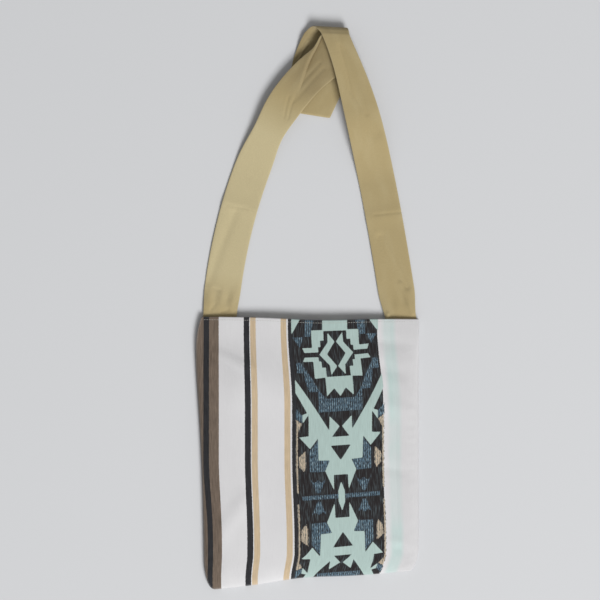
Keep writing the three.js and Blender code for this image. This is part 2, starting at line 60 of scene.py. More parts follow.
MM = 0.001
BODY = "root"
MOUTH_MIDDLE = np.array([4.06, -14.32, 0.0])
CLOTH_PLACE = "cloth_place"
FIGURE_DEPTH = "figure_depth"
TURN = 2.0 * math.pi
QUARTER_TURN = TURN / 4.0
BEND_STEPS = 6
STRAIGHT_STEPS = 3
LENGTH_TOLERANCE = 0.01
SPACING_GROWTH = 0.12
CLOTH_SPECULAR = 0.2
SCREEN_FULL = 255.0
CURVE_LINE_END = 0.04045
CURVE_LINE_SLOPE = 12.92
CURVE_OFFSET = 0.055
CURVE_POWER = 2.4
TINY = 1e-9


class Dye(Enum):
    """Colours of the threads and cloths, as red, green and blue out of 255 on a screen. Those whose names say
    painted stand in for light and shade.
    """

    WHITE = (215, 214, 215)
    # White darkened a little: painted shade on the bag's right side.
    ASH_WHITE = (207, 206, 207)
    BROWN = (114, 100, 88)
    BLACK = (44, 44, 47)
    TAN = (198, 177, 147)
    SAND = (190, 174, 152)
    MINT = (173, 193, 188)
    PALE_MINT = (190, 207, 204)
    BLUE = (82, 105, 120)
    PALE_BLUE = (156, 178, 186)
    NIGHT = (40, 36, 37)
    SMOKE = (74, 86, 90)
    KHAKI = (172, 155, 114)
    # Darker khaki: painted shade at the strap's top fold and at its crossing.
    DEEP_KHAKI = (153, 137, 101)
    # Paler khaki: painted light on the lower part of the strap's left arm, and also the colour of its rubbed
    # edges and paler patches.
    WORN_KHAKI = (192, 179, 141)
    BUFF = (185, 171, 134)
    PALE_BUFF = (200, 188, 155)
    THREAD = (192, 190, 184)
    FLOOR = (206, 207, 209)

    @property
    def linear(self) -> Colour:
        """The colour in linear light, by the screen's standard curve: a short line, then a power.

        Returns:
            Red, green and blue from 0 to 1, fully opaque.
        """
        shares = np.array(self.value) / SCREEN_FULL
        line = shares / CURVE_LINE_SLOPE
        power = ((shares + CURVE_OFFSET) / (1.0 + CURVE_OFFSET)) ** CURVE_POWER
        return (*np.where(shares <= CURVE_LINE_END, line, power).tolist(), 1.0)


class Side(Enum):
    """The two sides of the bag, by the direction of +X in which each lies."""

    LEFT = -1
    RIGHT = 1


class Strip(Enum):
    """The parts of a panel in one direction: a turned strip, its face, and another turned strip."""

    BEFORE = -1
    FACE = 0
    AFTER = 1


def lerp(first: Array | float, second: Array | float, share: Array | float) -> Array:
    """Straight blend from the first value to the second."""
    return first + (second - first) * share


def smooth_step(value: Array | float, low: float, high: float) -> Array:
    """Smooth rise from 0 at low to 1 at high: three times the share squared less twice its cube."""
    share = np.clip((np.asarray(value, dtype=float) - low) / (high - low), 0.0, 1.0)
    return share * share * (3.0 - 2.0 * share)


def bump(distance: Array, spread: float) -> Array:
    """Bell curve that is 1 at no distance and falls off over the spread."""
    return np.exp(-((distance / spread) ** 2))


def heading(degrees: float) -> Array:
    """Unit vector in plan at an angle from +X."""
    return np.array([math.cos(math.radians(degrees)), math.sin(math.radians(degrees))])


def off_segment(x: Array, y: Array, start: Array, end: Array) -> Array:
    """Distances of places in a plane from the straight line between two points.

    Args:
        x: First coordinate of the places.
        y: Second coordinate of the places.
        start: One end of the line.
        end: The other end.

    Returns:
        The distance of each place from the nearest point of the line.
    """
    way = np.subtract(end, start)
    right, up = x - start[0], y - start[1]
    share = np.clip((right * way[0] + up * way[1]) / (way @ way), 0.0, 1.0)
    return np.hypot(right - share * way[0], up - share * way[1])


def closer_at_edge(spacing: Array | float, edge_spacing: float, from_edge: Array) -> Array:
    """Spacing that narrows towards an edge, down to the edge's own spacing."""
    return np.minimum(spacing, edge_spacing + SPACING_GROWTH * from_edge)


def spaced_places(places: Array, spacing: Array) -> Array:
    """Places whose gaps follow a wanted spacing.

    The number of gaps up to a place is the integral of one over the spacing, and equal steps of that number
    give the places.

    Args:
        places: Rising places at which the spacing is known.
        spacing: Wanted gap at each of those places.

    Returns:
        The spaced places, from the first known place to the last.
    """
    gaps = np.diff(places) * (1.0 / spacing[:-1] + 1.0 / spacing[1:]) / 2.0
    count = np.concatenate([[0.0], np.cumsum(gaps)])
    steps = np.linspace(0.0, count[-1], math.ceil(count[-1]) + 1)
    return np.interp(steps, count, places)


@dataclass(frozen=True)
class SoftFold:
    """A soft ridge in a cloth, or a trough where the lift is negative, along a broken line on it."""

    line: tuple[tuple[float, float], ...]
    spread: float
    lift: float

    def height(self, x: Array, y: Array) -> Array:
        """Lift of the cloth at places on it: a bell curve of the least distance to the line.

        Args:
            x: First coordinate of the places, on the cloth.
            y: Second coordinate of the places, on the cloth.

        Returns:
            The lift at each place.
        """
        segments = zip(self.line, self.line[1:])
        nearest = np.min([off_segment(x, y, start, end) for start, end in segments], axis=0)
        return self.lift * bump(nearest, self.spread)


@dataclass
class ClothGrid:
    """The mid-surface of a cloth on a grid, its half thickness, what its points carry, and its cells."""

    points: Array
    half: Array | float
    known: dict[str, Array]
    kept: Array | None = None

    @property
    def keep(self) -> Array:
        """Which cells of the grid are cloth: all of them, unless some are left out."""
        rows, columns = self.points.shape[:2]
        return np.ones((rows - 1, columns - 1), dtype=bool) if self.kept is None else self.kept

    def normals(self) -> Array:
        """Unit normals at the points, each the mean of the cells of cloth round it.

        Returns:
            One vector for each point. A cell's normal is the cross product of its diagonals.
        """
        falling = self.points[1:, 1:] - self.points[:-1, :-1]
        rising = self.points[:-1, 1:] - self.points[1:, :-1]
        facing = np.cross(falling, rising) * self.keep[..., None]
        total = np.zeros_like(self.points)
        total[:-1, :-1] += facing
        total[1:, :-1] += facing
        total[:-1, 1:] += facing
        total[1:, 1:] += facing
        return total / np.maximum(np.linalg.norm(total, axis=-1, keepdims=True), TINY)

    def faces(self) -> Array:
        """Four-cornered faces of the closed sheet: its upper side, its lower side and the walls round it.

        Returns:
            Corners as places in the list of upper points followed by the lower points.
        """
        rows, columns = self.keep.shape
        index = np.arange((rows + 1) * (columns + 1)).reshape(rows + 1, columns + 1)
        corners = index[:-1, :-1], index[1:, :-1], index[1:, 1:], index[:-1, 1:]
        upper = np.stack([corner[self.keep] for corner in corners], axis=-1)
        around = np.pad(self.keep, 1)
        beside = around[1:-1, :-2], around[2:, 1:-1], around[1:-1, 2:], around[:-2, 1:-1]
        faces = [upper, upper[:, ::-1] + index.size]
        for turn, neighbour in enumerate(beside):
            bare = self.keep & ~neighbour
            start = corners[turn][bare]
            end = corners[(turn + 1) % len(corners)][bare]
            faces.append(np.stack([start, start + index.size, end + index.size, end], axis=-1))
        return np.concatenate(faces)

    def sheet(self, name: str) -> bpy.types.Object:
        """Make the closed thin sheet: the mid-surface moved along its normals by half its thickness each way.

        Args:
            name: Name of the piece.

        Returns:
            The new object, which carries what is known at the points as mesh attributes.
        """
        half = np.broadcast_to(self.half, self.points.shape[:2])
        offset = self.normals() * half[..., None]
        both = np.stack([self.points + offset, self.points - offset]).reshape(-1, 3)
        used, faces = np.unique(self.faces(), return_inverse=True)
        piece = mesh_piece(name, both[used], faces.reshape(-1, 4))
        for label, vectors in self.known.items():
            twice = np.tile(vectors.reshape(-1, 3), (2, 1))[used]
            layer = piece.data.attributes.new(label, "FLOAT_VECTOR", "POINT")
            layer.data.foreach_set("vector", np.ascontiguousarray(twice, dtype=np.float32).ravel())
        return piece


def mesh_piece(name: str, points: Array, faces: Array) -> bpy.types.Object:
    """Make a smooth mesh piece of the bag, which rides on the bag's one body.

    Args:
        name: Name of the piece.
        points: Points from the middle of the mouth line.
        faces: Corners of the faces.

    Returns:
        The new object, at the frame's origin.
    """
    mesh = bpy.data.meshes.new(name)
    mesh.from_pydata((points + MOUTH_MIDDLE) * MM, [], faces, shade_flat=False)
    mesh.update()
    piece = bpy.data.objects.new(name, mesh)
    bpy.context.collection.objects.link(piece)
    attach(piece, BODY)
    LOG.info("%s: %d points, %d faces", name, len(points), len(faces))
    return piece


@dataclass(frozen=True)
class SewnCloth:
    """What a cloth of the bag stands for: a solid, a name of a finish for it, and a flat sheet."""

    node: str
    slot: str
    flat: tuple[float, float]
    held: str
    rests_on: tuple[str, ...]

    def dress(self, piece: bpy.types.Object, material: bpy.types.Material) -> bpy.types.Object:
        """Give a piece its material, and hide the solid that it stands for.

        Args:
            piece: The piece.
            material: Its material.

        Returns:
            The piece.
        """
        piece.data.materials.append(material)
        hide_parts(self.node)
        width, length = self.flat
        list(self.rests_on)
        return piece


class NodeTree:
    """Short calls that make one material's nodes and the links between them."""

    def __init__(self, name: str, roughness: float, sheen: float = 0.0) -> None:
        """Make a material with one shader.

        Args:
            name: Name of the material.
            roughness: Roughness of the surface, the same all over until a node is linked to it.
            sheen: Weight of the soft sheen of loose fibres.
        """
        self.material = bpy.data.materials.new(name)
        self.material.use_nodes = True
        self.tree = self.material.node_tree
        self.shader = self.tree.nodes["Principled BSDF"]
        self.shader.inputs["Roughness"].default_value = roughness
        self.shader.inputs["Specular IOR Level"].default_value = CLOTH_SPECULAR
        self.shader.inputs["Sheen Weight"].default_value = sheen

    def node(self, kind: str, inputs: dict[int | str, object], **settings: object) -> bpy.types.Node:
        """Add a node.

        Args:
            kind: Type of the node.
            inputs: Value or linked socket for each named or numbered input.
            settings: Other settings of the node.

        Returns:
            The new node.
        """
        made = self.tree.nodes.new(kind)
        for label, value in settings.items():
            setattr(made, label, value)
        for place, value in inputs.items():
            self.feed(made.inputs[place], value)
        return made

    def feed(self, socket: Socket, value: object) -> None:
        """Link a socket to another one, or set its value.

        Args:
            socket: The socket.
            value: The other socket, or the value.
        """
        if isinstance(value, Socket):
            self.tree.links.new(value, socket)
        else:
            socket.default_value = value

    def math(self, operation: str, first: object, second: object = 0.0, third: object = 0.0) -> Socket:
        """Result of a sum on numbers or linked sockets."""
        values = {0: first, 1: second, 2: third}
        return self.node("ShaderNodeMath", values, operation=operation).outputs[0]

    def mix(self, share: object, first: object, second: object) -> Socket:
        """Colour that goes from the first to the second as the share goes from 0 to 1."""
        return self.node("ShaderNodeMix", {0: share, 6: first, 7: second}, data_type="RGBA").outputs[2]

    def attribute(self, name: str) -> Socket:
        """Vector that the mesh carries under a name."""
        return self.node("ShaderNodeAttribute", {}, attribute_name=name).outputs["Vector"]

    def parts(self, vector: Socket) -> tuple[Socket, Socket, Socket]:
        """The three numbers of a vector."""
        return tuple(self.node("ShaderNodeSeparateXYZ", {0: vector}).outputs)

    def scaled(self, vector: Socket, factor: object) -> Socket:
        """A vector or colour times a number, or times another vector part by part."""
        return self.node("ShaderNodeVectorMath", {0: vector, 1: factor}, operation="MULTIPLY").outputs[0]

    def noise(self, vector: Socket, grain: tuple[float, float], detail: float) -> Socket:
        """Soft noise from 0 to 1 on a cloth.

        Args:
            vector: Places on the cloth.
            grain: Sizes of a grain across and along the cloth.
            detail: How many layers of finer noise are added.

        Returns:
            The noise.
        """
        placed = self.scaled(vector, (1.0 / grain[0], 1.0 / grain[1], 0.0))
        inputs = {"Vector": placed, "Scale": 1.0, "Detail": detail}
        return self.node("ShaderNodeTexNoise", inputs).outputs[0]

    def ramp(self, value: Socket, stops: tuple[tuple[float, Dye], ...], blend: str) -> Socket:
        """Colour that changes with a value.

        Args:
            value: The value.
            stops: Rising values, and the colour from each of them on.
            blend: How one dye goes over into the next.

        Returns:
            The colour.
        """
        low, high = stops[0][0], stops[-1][0]
        made = self.node("ShaderNodeValToRGB", {0: self.between(value, low, high, 0.0, 1.0)})
        made.color_ramp.interpolation = blend
        for _ in stops[2:]:
            made.color_ramp.elements.new(1.0)
        for element, (start, dye) in zip(made.color_ramp.elements, stops):
            element.position = (start - low) / (high - low)
            element.color = dye.linear
        return made.outputs[0]

    def wave(self, along: Socket, pitch: float) -> Socket:
        """Sine wave of a coordinate with the given pitch."""
        return self.math("SINE", self.math("MULTIPLY", along, TURN / pitch))

    def between(self, value: Socket, low: float, high: float, first: float, second: float) -> Socket:
        """Value carried from the range low to high over to the range first to second."""
        inputs = {0: value, 1: low, 2: high, 3: first, 4: second}
        return self.node("ShaderNodeMapRange", inputs).outputs[0]

    def relief(self, height: Socket, depth: float, strength: float) -> None:
        """Give the surface a fine relief of the given depth in millimetres."""
        inputs = {"Height": height, "Distance": depth * MM, "Strength": strength}
        self.feed(self.shader.inputs["Normal"], self.node("ShaderNodeBump", inputs).outputs[0])


@dataclass(frozen=True)
class Shape:
    """One shape of the woven figure, on the right of its axis, or across it where it is mirrored."""

    dye: Dye
    corners: tuple[tuple[float, float], ...]
    mirrored: bool = False

    def outline(self) -> Array:
        """The shape's corners, with those of its other half where it lies across the axis.

        Returns:
            The corners in order round the shape.
        """
        half = np.array(self.corners, dtype=float)
        off_axis = half[half[:, 0] > 0.0]
        return np.concatenate([half, off_axis[::-1] * (-1.0, 1.0)]) if self.mirrored else half

    def depth(self, across: Array, along: Array) -> Array:
        """How deep places lie inside the shape, negative outside it.

        The size is the least distance to a side. The sign comes from the sides that a line to the right
        crosses: an odd number means inside.

        Args:
            across: Distances of the places from the figure's axis.
            along: Distances of the places from the mouth line.

        Returns:
            The depth at each place.
        """
        corners = self.outline()
        nearest = np.full(across.shape, np.inf)
        inside = np.zeros(across.shape, dtype=bool)
        for start, end in zip(corners, np.roll(corners, -1, axis=0)):
            nearest = np.minimum(nearest, off_segment(across, along, start, end))
            way = end - start
            if way[1] != 0.0:
                spans = (start[1] > along) != (end[1] > along)
                inside ^= spans & (across - start[0] < (along - start[1]) * way[0] / way[1])
        return np.where(inside, nearest, -nearest)


FIGURE = (
    Shape(Dye.MINT, ((0, -8), (17.8, -8), (17.8, 18.4), (0, 18.4)), mirrored=True),
    Shape(Dye.MINT, ((16.4, 16.9), (33.8, 16.9), (33.7, 40.6), (47.6, 40.1), (45, 47.2), (25.2, 47.5),
                     (25.2, 40.2), (21.7, 40.2), (21.7, 31.2), (16.4, 31.2))),
    Shape(Dye.MINT, ((25.8, 54.4), (45.2, 53.8), (48.6, 59.8), (33.8, 60.3), (34, 84.7), (17.2, 83.8),
                     (17, 69.9), (22.3, 69.9), (22.3, 60.7), (25.8, 60.7))),
    Shape(Dye.MINT, ((0, 83.4), (19.3, 83.4), (19.1, 111), (8.2, 99.8), (0, 111.7)), mirrored=True),
    Shape(Dye.MINT, ((10.6, 20.8), (1, 33.9), (13.3, 51.2), (0.7, 68.9), (10.4, 81.2), (10.9, 67.4),
                     (24.2, 51), (11.2, 34.7))),
    Shape(Dye.MINT, ((43, -8), (70, -8), (70, 32), (57.5, 14.5))),
    Shape(Dye.MINT, ((61.6, 83.6), (16.2, 159.6), (15.7, 139.5), (1.7, 154.3), (12.6, 169.2), (0, 169.2),
                     (0, 181.3), (14.4, 181.3), (0, 202.8), (0, 223.4), (10, 223.4), (10.4, 245),
                     (22, 217.3), (15.4, 202.3), (30.9, 201.4), (32, 170), (42.6, 184.4), (57.3, 166.8),
                     (44.5, 165.9), (44.5, 134.9), (52.8, 147.6), (52.9, 134.9), (46.6, 133), (62, 103))),
    Shape(Dye.MINT, ((0, 169), (13, 169), (15, 181.5), (0, 181.5)), mirrored=True),
    Shape(Dye.MINT, ((0, 202), (9, 202), (9, 223.4), (0, 223.4)), mirrored=True),
    Shape(Dye.MINT, ((0, 233.2), (4.6, 246.5), (4.6, 261.5), (0, 274.8)), mirrored=True),
    Shape(Dye.BLUE, ((26.5, -8), (41.5, -8), (44, 25), (35.5, 25))),
    Shape(Dye.BLUE, ((45, 24.5), (60.5, 24.5), (51.2, 39.4))),
    Shape(Dye.BLUE, ((58.3, 60.9), (51.9, 60), (36.6, 86), (29.7, 101.5), (20, 114.5), (31.5, 113.7),
                     (31.5, 103.5), (43.5, 102.8), (47.2, 89.7), (48.6, 75.9), (58.6, 75.2))),
    Shape(Dye.BLUE, ((0, 114), (31, 114), (31, 133), (0, 133)), mirrored=True),
    Shape(Dye.BLUE, ((63.3, 123.3), (52.8, 136.1), (53.2, 147.1), (63.3, 139.7))),
    Shape(Dye.BLUE, ((31.6, 171.9), (42.3, 186.6), (43.8, 187.5), (43.8, 217.4), (22, 218.1), (15.2, 202.2),
                     (30.6, 201.1))),
    Shape(Dye.BLUE, ((21.7, 228.4), (27, 233), (32.3, 229), (37.5, 233), (42.6, 228.4), (34.5, 248),
                     (30.1, 248))),
    Shape(Dye.BLUE, ((0, 250.9), (54.6, 250.9), (54.6, 257.1), (0, 257.1)), mirrored=True),
    Shape(Dye.TAN, ((59.2, 146), (61.6, 146), (61.6, 246), (59.2, 246))),
    Shape(Dye.TAN, ((62, 141), (53.3, 147), (58.6, 158.6))),
    Shape(Dye.TAN, ((48.5, 186.2), (57.8, 195.2), (56.8, 209.6), (50.9, 216.8), (48.5, 210.2))),
)


# Khaki along the strap from its right end. The darker stops at the top fold (455 to 545 mm) and at the
# crossing (665 to 750 mm) are painted shade; the paler stretch on the left arm's lower part is painted light,
# and its fall back to khaki at the left end is painted shade near the mouth.
KHAKI_ALONG_STRAP = (
    (0.0, Dye.KHAKI), (400.0, Dye.KHAKI), (455.0, Dye.DEEP_KHAKI), (545.0, Dye.DEEP_KHAKI),
    (580.0, Dye.KHAKI), (640.0, Dye.KHAKI), (665.0, Dye.DEEP_KHAKI), (750.0, Dye.DEEP_KHAKI),
    (785.0, Dye.KHAKI), (840.0, Dye.WORN_KHAKI), (1050.0, Dye.WORN_KHAKI), (1105.0, Dye.KHAKI),
)
STRAP_TWILL_SLANT = 0.6


@dataclass(frozen=True)
class Drift:
    """A change in how a cloth lies, which grows smoothly between two depths below the mouth."""

    amount: float
    start: float
    end: float

    def at(self, depth: Array) -> Array:
        """The change at depths: none above the first one, all of it below the second."""
        return self.amount * smooth_step(depth, self.start, self.end)


@dataclass(frozen=True)
class StripedCloth:
    """Finish of the bag's outer cloth: lengthwise stripes and one band with a woven figure."""

    stripes: tuple[tuple[float, Dye], ...] = (
        (-180.0, Dye.BROWN), (-152.6, Dye.BLACK), (-145.3, Dye.BROWN), (-130.8, Dye.WHITE),
        (-95.4, Dye.BLACK), (-87.6, Dye.WHITE), (-86.0, Dye.TAN), (-78.1, Dye.WHITE),
        (-42.3, Dye.TAN), (-34.4, Dye.WHITE), (-32.5, Dye.BLACK), (-26.2, Dye.NIGHT),
        # The greyer white from 114 mm to the right edge is painted shade on that side of the bag.
        (95.2, Dye.WHITE), (114.0, Dye.ASH_WHITE),
    )
    figure_axis: float = 35.0
    figure_half_width: float = 62.0
    figure_middle: float = 254.0
    band_rim: float = 1.0
    pale_stripe: float = 112.0
    pale_half_width: float = 9.0
    pale_fade: tuple[float, float] = (2.5, -3.5)
    upper_slide: Drift = Drift(8.7, 12.0, 125.0)
    upper_slide_share: float = 0.65
    lower_slide: Drift = Drift(3.2, 200.0, 320.0)
    side_slide: Drift = Drift(3.5, 200.0, 320.0)
    side_slide_share: float = 0.15
    left_return: Drift = Drift(0.5, 335.0, 375.0)
    right_return: Drift = Drift(11.5, 335.0, 375.0)
    lean: Drift = Drift(0.072, 0.0, 35.0)
    lower_lean: Drift = Drift(0.035, 290.0, 340.0)
    bottom_run: Drift = Drift(14.0, 335.0, 372.0)
    streak_grain: tuple[float, float] = (1.3, 18.0)
    dash_grain: tuple[float, float] = (1.1, 4.6)
    speck_grain: tuple[float, float] = (0.9, 1.2)
    patch_grain: tuple[float, float] = (45.0, 70.0)
    thread_wander: float = 0.6
    ragged_edge: float = 1.5
    soft_edge: float = 0.3
    thread: float = 0.9
    dash: float = 3.0
    dash_share: float = 0.1
    rag_dashes: tuple[float, float] = (0.2, 0.8)
    pale_patches: Carry = (0.35, 0.62, 0.45, 1.0)
    dusk_streaks: Carry = (0.5, 0.7, 0.0, 0.75)
    night_lines: Carry = (0.45, 0.6, 0.0, 0.9)
    pale_lines: Carry = (0.4, 0.28, 0.0, 0.7)
    smoke_lines: Carry = (0.46, 0.64, 0.0, 0.8)
    grain_streaks: Carry = (0.25, 0.75, -1.0, 1.0)
    grain_sway: Carry = (0.0, 0.6, 0.45, 0.02)
    patch_level: Carry = (0.3, 0.7, 0.985, 1.015)
    roughness: float = 0.92
    rough_streaks: Carry = (0.2, 0.8, 0.84, 0.98)
    sheen: float = 0.15
    relief: float = 0.25
    relief_strength: float = 0.5
    rubbed_width: float = 1.6
    rubbed_share: float = 0.35

    def place(self, form: "BagForm", x: Array, depth: Array) -> tuple[Array, Array]:
        """Where places of the bag lie on the flat cloth, whose stripes and weft lie a little askew on it.

        Across, the cloth has slid by a smooth rise below the mouth, another near the bottom, and back at the
        bottom edge. Along, the weft leans by a share of the distance from the figure's axis, and the cloth
        runs faster where it curves under at the bottom.

        Args:
            form: Form of the bag.
            x: Places across the bag.
            depth: Places below the mouth line.

        Returns:
            The places across and along the flat cloth.
        """
        share = x / form.mouth_width + 0.5
        upper = self.upper_slide.at(depth) * smooth_step(share, 0.0, self.upper_slide_share)
        at_side = 1.0 - smooth_step(share, 0.0, self.side_slide_share)
        lower = self.lower_slide.at(depth) + self.side_slide.at(depth) * at_side
        back = lerp(self.left_return.at(depth), self.right_return.at(depth), share)
        across = x - upper - lower + back
        lean = self.lean.at(depth) + self.lower_lean.at(depth)
        return across, depth + lean * (across - self.figure_axis) + self.bottom_run.at(depth)

    def figure_depths(self, across: Array, along: Array) -> Array:
        """How deep places lie inside the mint, blue and tan shapes of the figure.

        The figure is the same on both sides of its axis, and the same upwards and downwards from its middle.

        Args:
            across: Places across the flat cloth.
            along: Places along the flat cloth.

        Returns:
            The three depths at each place, negative outside the shapes.
        """
        from_axis = np.abs(across - self.figure_axis)
        from_mouth = self.figure_middle - np.abs(along - self.figure_middle)
        depths = []
        for dye in (Dye.MINT, Dye.BLUE, Dye.TAN):
            shapes = [shape.depth(from_axis, from_mouth) for shape in FIGURE if shape.dye is dye]
            within = self.figure_half_width - from_axis
            depths.append(np.minimum(np.max(shapes, axis=0), within))
        return np.stack(depths, axis=-1)

    def in_band(self, nodes: NodeTree, across: Socket, share: Socket) -> Socket:
        """Keep a share to the figured band of the cloth.

        Args:
            nodes: The material's nodes.
            across: Places across the flat cloth.
            share: The share.

        Returns:
            The share in the band, and none elsewhere.
        """
        from_axis = nodes.math("ABSOLUTE", nodes.math("SUBTRACT", across, self.figure_axis))
        inside = nodes.math("LESS_THAN", from_axis, self.figure_half_width - self.band_rim)
        return nodes.math("MULTIPLY", share, inside)

    def material(self, name: str) -> bpy.types.Material:
        """Make the cloth's material.

        Stripes come from a ramp across the cloth, the figure from its depths, and both are broken up by long
        thin grains of thread, which show more on dark thread than on pale.

        Args:
            name: Name of the material.

        Returns:
            The material.
        """
        nodes = NodeTree(name, self.roughness, self.sheen)
        place = nodes.attribute(CLOTH_PLACE)
        across, along, edge = nodes.parts(place)
        streaks = nodes.noise(place, self.streak_grain, detail=3.0)
        dashes = nodes.noise(place, self.dash_grain, detail=2.0)
        specks = nodes.noise(place, self.speck_grain, detail=1.0)
        patches = nodes.noise(place, self.patch_grain, detail=2.0)
        wander = nodes.between(specks, 0.0, 1.0, -self.thread_wander, self.thread_wander)
        rags = nodes.between(dashes, *self.rag_dashes, -self.ragged_edge, self.ragged_edge)
        colour = nodes.ramp(nodes.math("ADD", across, wander), self.stripes, "CONSTANT")
        pale = nodes.math("ABSOLUTE", nodes.math("SUBTRACT", across, self.pale_stripe))
        outer, inner = (self.pale_half_width + fade for fade in self.pale_fade)
        pale = nodes.between(pale, outer, inner, 0.0, 1.0)
        pale = nodes.math("MULTIPLY", pale, nodes.between(patches, *self.pale_patches))
        colour = nodes.mix(pale, colour, Dye.PALE_MINT.linear)
        mint, blue, tan = nodes.parts(nodes.attribute(FIGURE_DEPTH))
        lines = nodes.math("MULTIPLY_ADD", nodes.wave(across, self.dash), self.dash_share, dashes)
        dusk = nodes.between(streaks, *self.dusk_streaks)
        colour = nodes.mix(self.in_band(nodes, across, dusk), colour, Dye.SMOKE.linear)
        worn_blue = nodes.mix(nodes.between(lines, *self.night_lines), Dye.BLUE.linear, Dye.NIGHT.linear)
        worn_blue = nodes.mix(nodes.between(lines, *self.pale_lines), worn_blue, Dye.PALE_BLUE.linear)
        worn_tan = nodes.mix(nodes.between(lines, *self.smoke_lines), Dye.SAND.linear, Dye.SMOKE.linear)
        layers = ((tan, rags, worn_tan), (blue, rags, worn_blue), (mint, wander, Dye.MINT.linear))
        for depth, ragged, dye in layers:
            inside = nodes.math("ADD", depth, ragged)
            colour = nodes.mix(nodes.between(inside, -self.soft_edge, self.soft_edge, 0.0, 1.0), colour, dye)
        paleness = nodes.node("ShaderNodeRGBToBW", {0: colour}).outputs[0]
        sway = nodes.between(paleness, *self.grain_sway)
        grain = nodes.math("ADD", nodes.between(streaks, *self.grain_streaks), wander)
        level = nodes.math("MULTIPLY_ADD", grain, sway, nodes.between(patches, *self.patch_level))
        shade = nodes.scaled(colour, level)
        rubbed = nodes.between(edge, self.rubbed_width, 0.0, 0.0, self.rubbed_share)
        shade = nodes.mix(nodes.math("MULTIPLY", rubbed, specks), shade, Dye.WHITE.linear)
        nodes.feed(nodes.shader.inputs["Base Color"], shade)
        weave = nodes.math("MULTIPLY", nodes.wave(across, self.thread), nodes.wave(along, self.thread))
        nodes.relief(nodes.math("ADD", weave, specks), self.relief, self.relief_strength)
        nodes.feed(nodes.shader.inputs["Roughness"], nodes.between(streaks, *self.rough_streaks))
        return nodes.material


@dataclass(frozen=True)
class CottonTwill:
    """Finish of a plain dyed cotton: a slanted weave, paler where it is rubbed, and tones along it that on the
    strap are partly painted shade and painted light.
    """

    dyes: tuple[tuple[float, Dye], ...]
    rubbed: Dye
    slant: float
    thread: float = 0.9
    speck_grain: tuple[float, float] = (0.9, 2.2)
    patch_grain: tuple[float, float] = (22.0, 70.0)
    pale_patches: Carry = (0.45, 0.75, 0.0, 0.3)
    speck_level: Carry = (0.2, 0.8, 0.93, 1.07)
    rubbed_width: float = 1.5
    rubbed_share: float = 0.3
    roughness: float = 0.9
    rough_patches: Carry = (0.3, 0.7, 0.95, 0.86)
    sheen: float = 0.2
    relief: float = 0.2
    relief_strength: float = 0.45

    def material(self, name: str) -> bpy.types.Material:
        """Make the cotton's material: tones that change along it, paler patches and edges, slanted threads.

        Args:
            name: Name of the material.

        Returns:
            The material.
        """
        nodes = NodeTree(name, self.roughness, self.sheen)
        place = nodes.attribute(CLOTH_PLACE)
        across, along, edge = nodes.parts(place)
        patches = nodes.noise(place, self.patch_grain, detail=3.0)
        specks = nodes.noise(place, self.speck_grain, detail=2.0)
        # Tones along the cloth: on the strap these hold painted shade at its folds and crossing, and painted
        # light on its left arm.
        tone_along = nodes.ramp(along, self.dyes, "LINEAR")
        paler = nodes.between(patches, *self.pale_patches)
        rubbed = nodes.between(edge, self.rubbed_width, 0.0, 0.0, self.rubbed_share)
        colour = nodes.mix(nodes.math("ADD", paler, rubbed), tone_along, self.rubbed.linear)
        level = nodes.between(specks, *self.speck_level)
        shade = nodes.scaled(colour, level)
        nodes.feed(nodes.shader.inputs["Base Color"], shade)
        lines = nodes.wave(nodes.math("MULTIPLY_ADD", along, self.slant, across), self.thread)
        nodes.relief(nodes.math("ADD", lines, specks), self.relief, self.relief_strength)
        nodes.feed(nodes.shader.inputs["Roughness"], nodes.between(patches, *self.rough_patches))
        return nodes.material


@dataclass(frozen=True)
class SpunThread:
    """Finish of the sewing thread: fine slanted plies."""

    dye: Dye
    ply: float = 0.5
    shaded: float = 0.8
    roughness: float = 0.75

    def material(self, name: str) -> bpy.types.Material:
        """Make the thread's material, whose plies run slantwise over the stitches.

        Args:
            name: Name of the material.

        Returns:
            The material.
        """
        nodes = NodeTree(name, self.roughness)
        place = nodes.node("ShaderNodeTexCoord", {}).outputs["Object"]
        x, y, _ = nodes.parts(place)
        plies = nodes.wave(nodes.math("ADD", x, y), self.ply * MM)
        dark = (*(self.shaded * share for share in self.dye.linear[:3]), 1.0)
        tone = nodes.mix(nodes.between(plies, -1.0, 1.0, 0.0, 1.0), dark, self.dye.linear)
        nodes.feed(nodes.shader.inputs["Base Color"], tone)
        return nodes.material


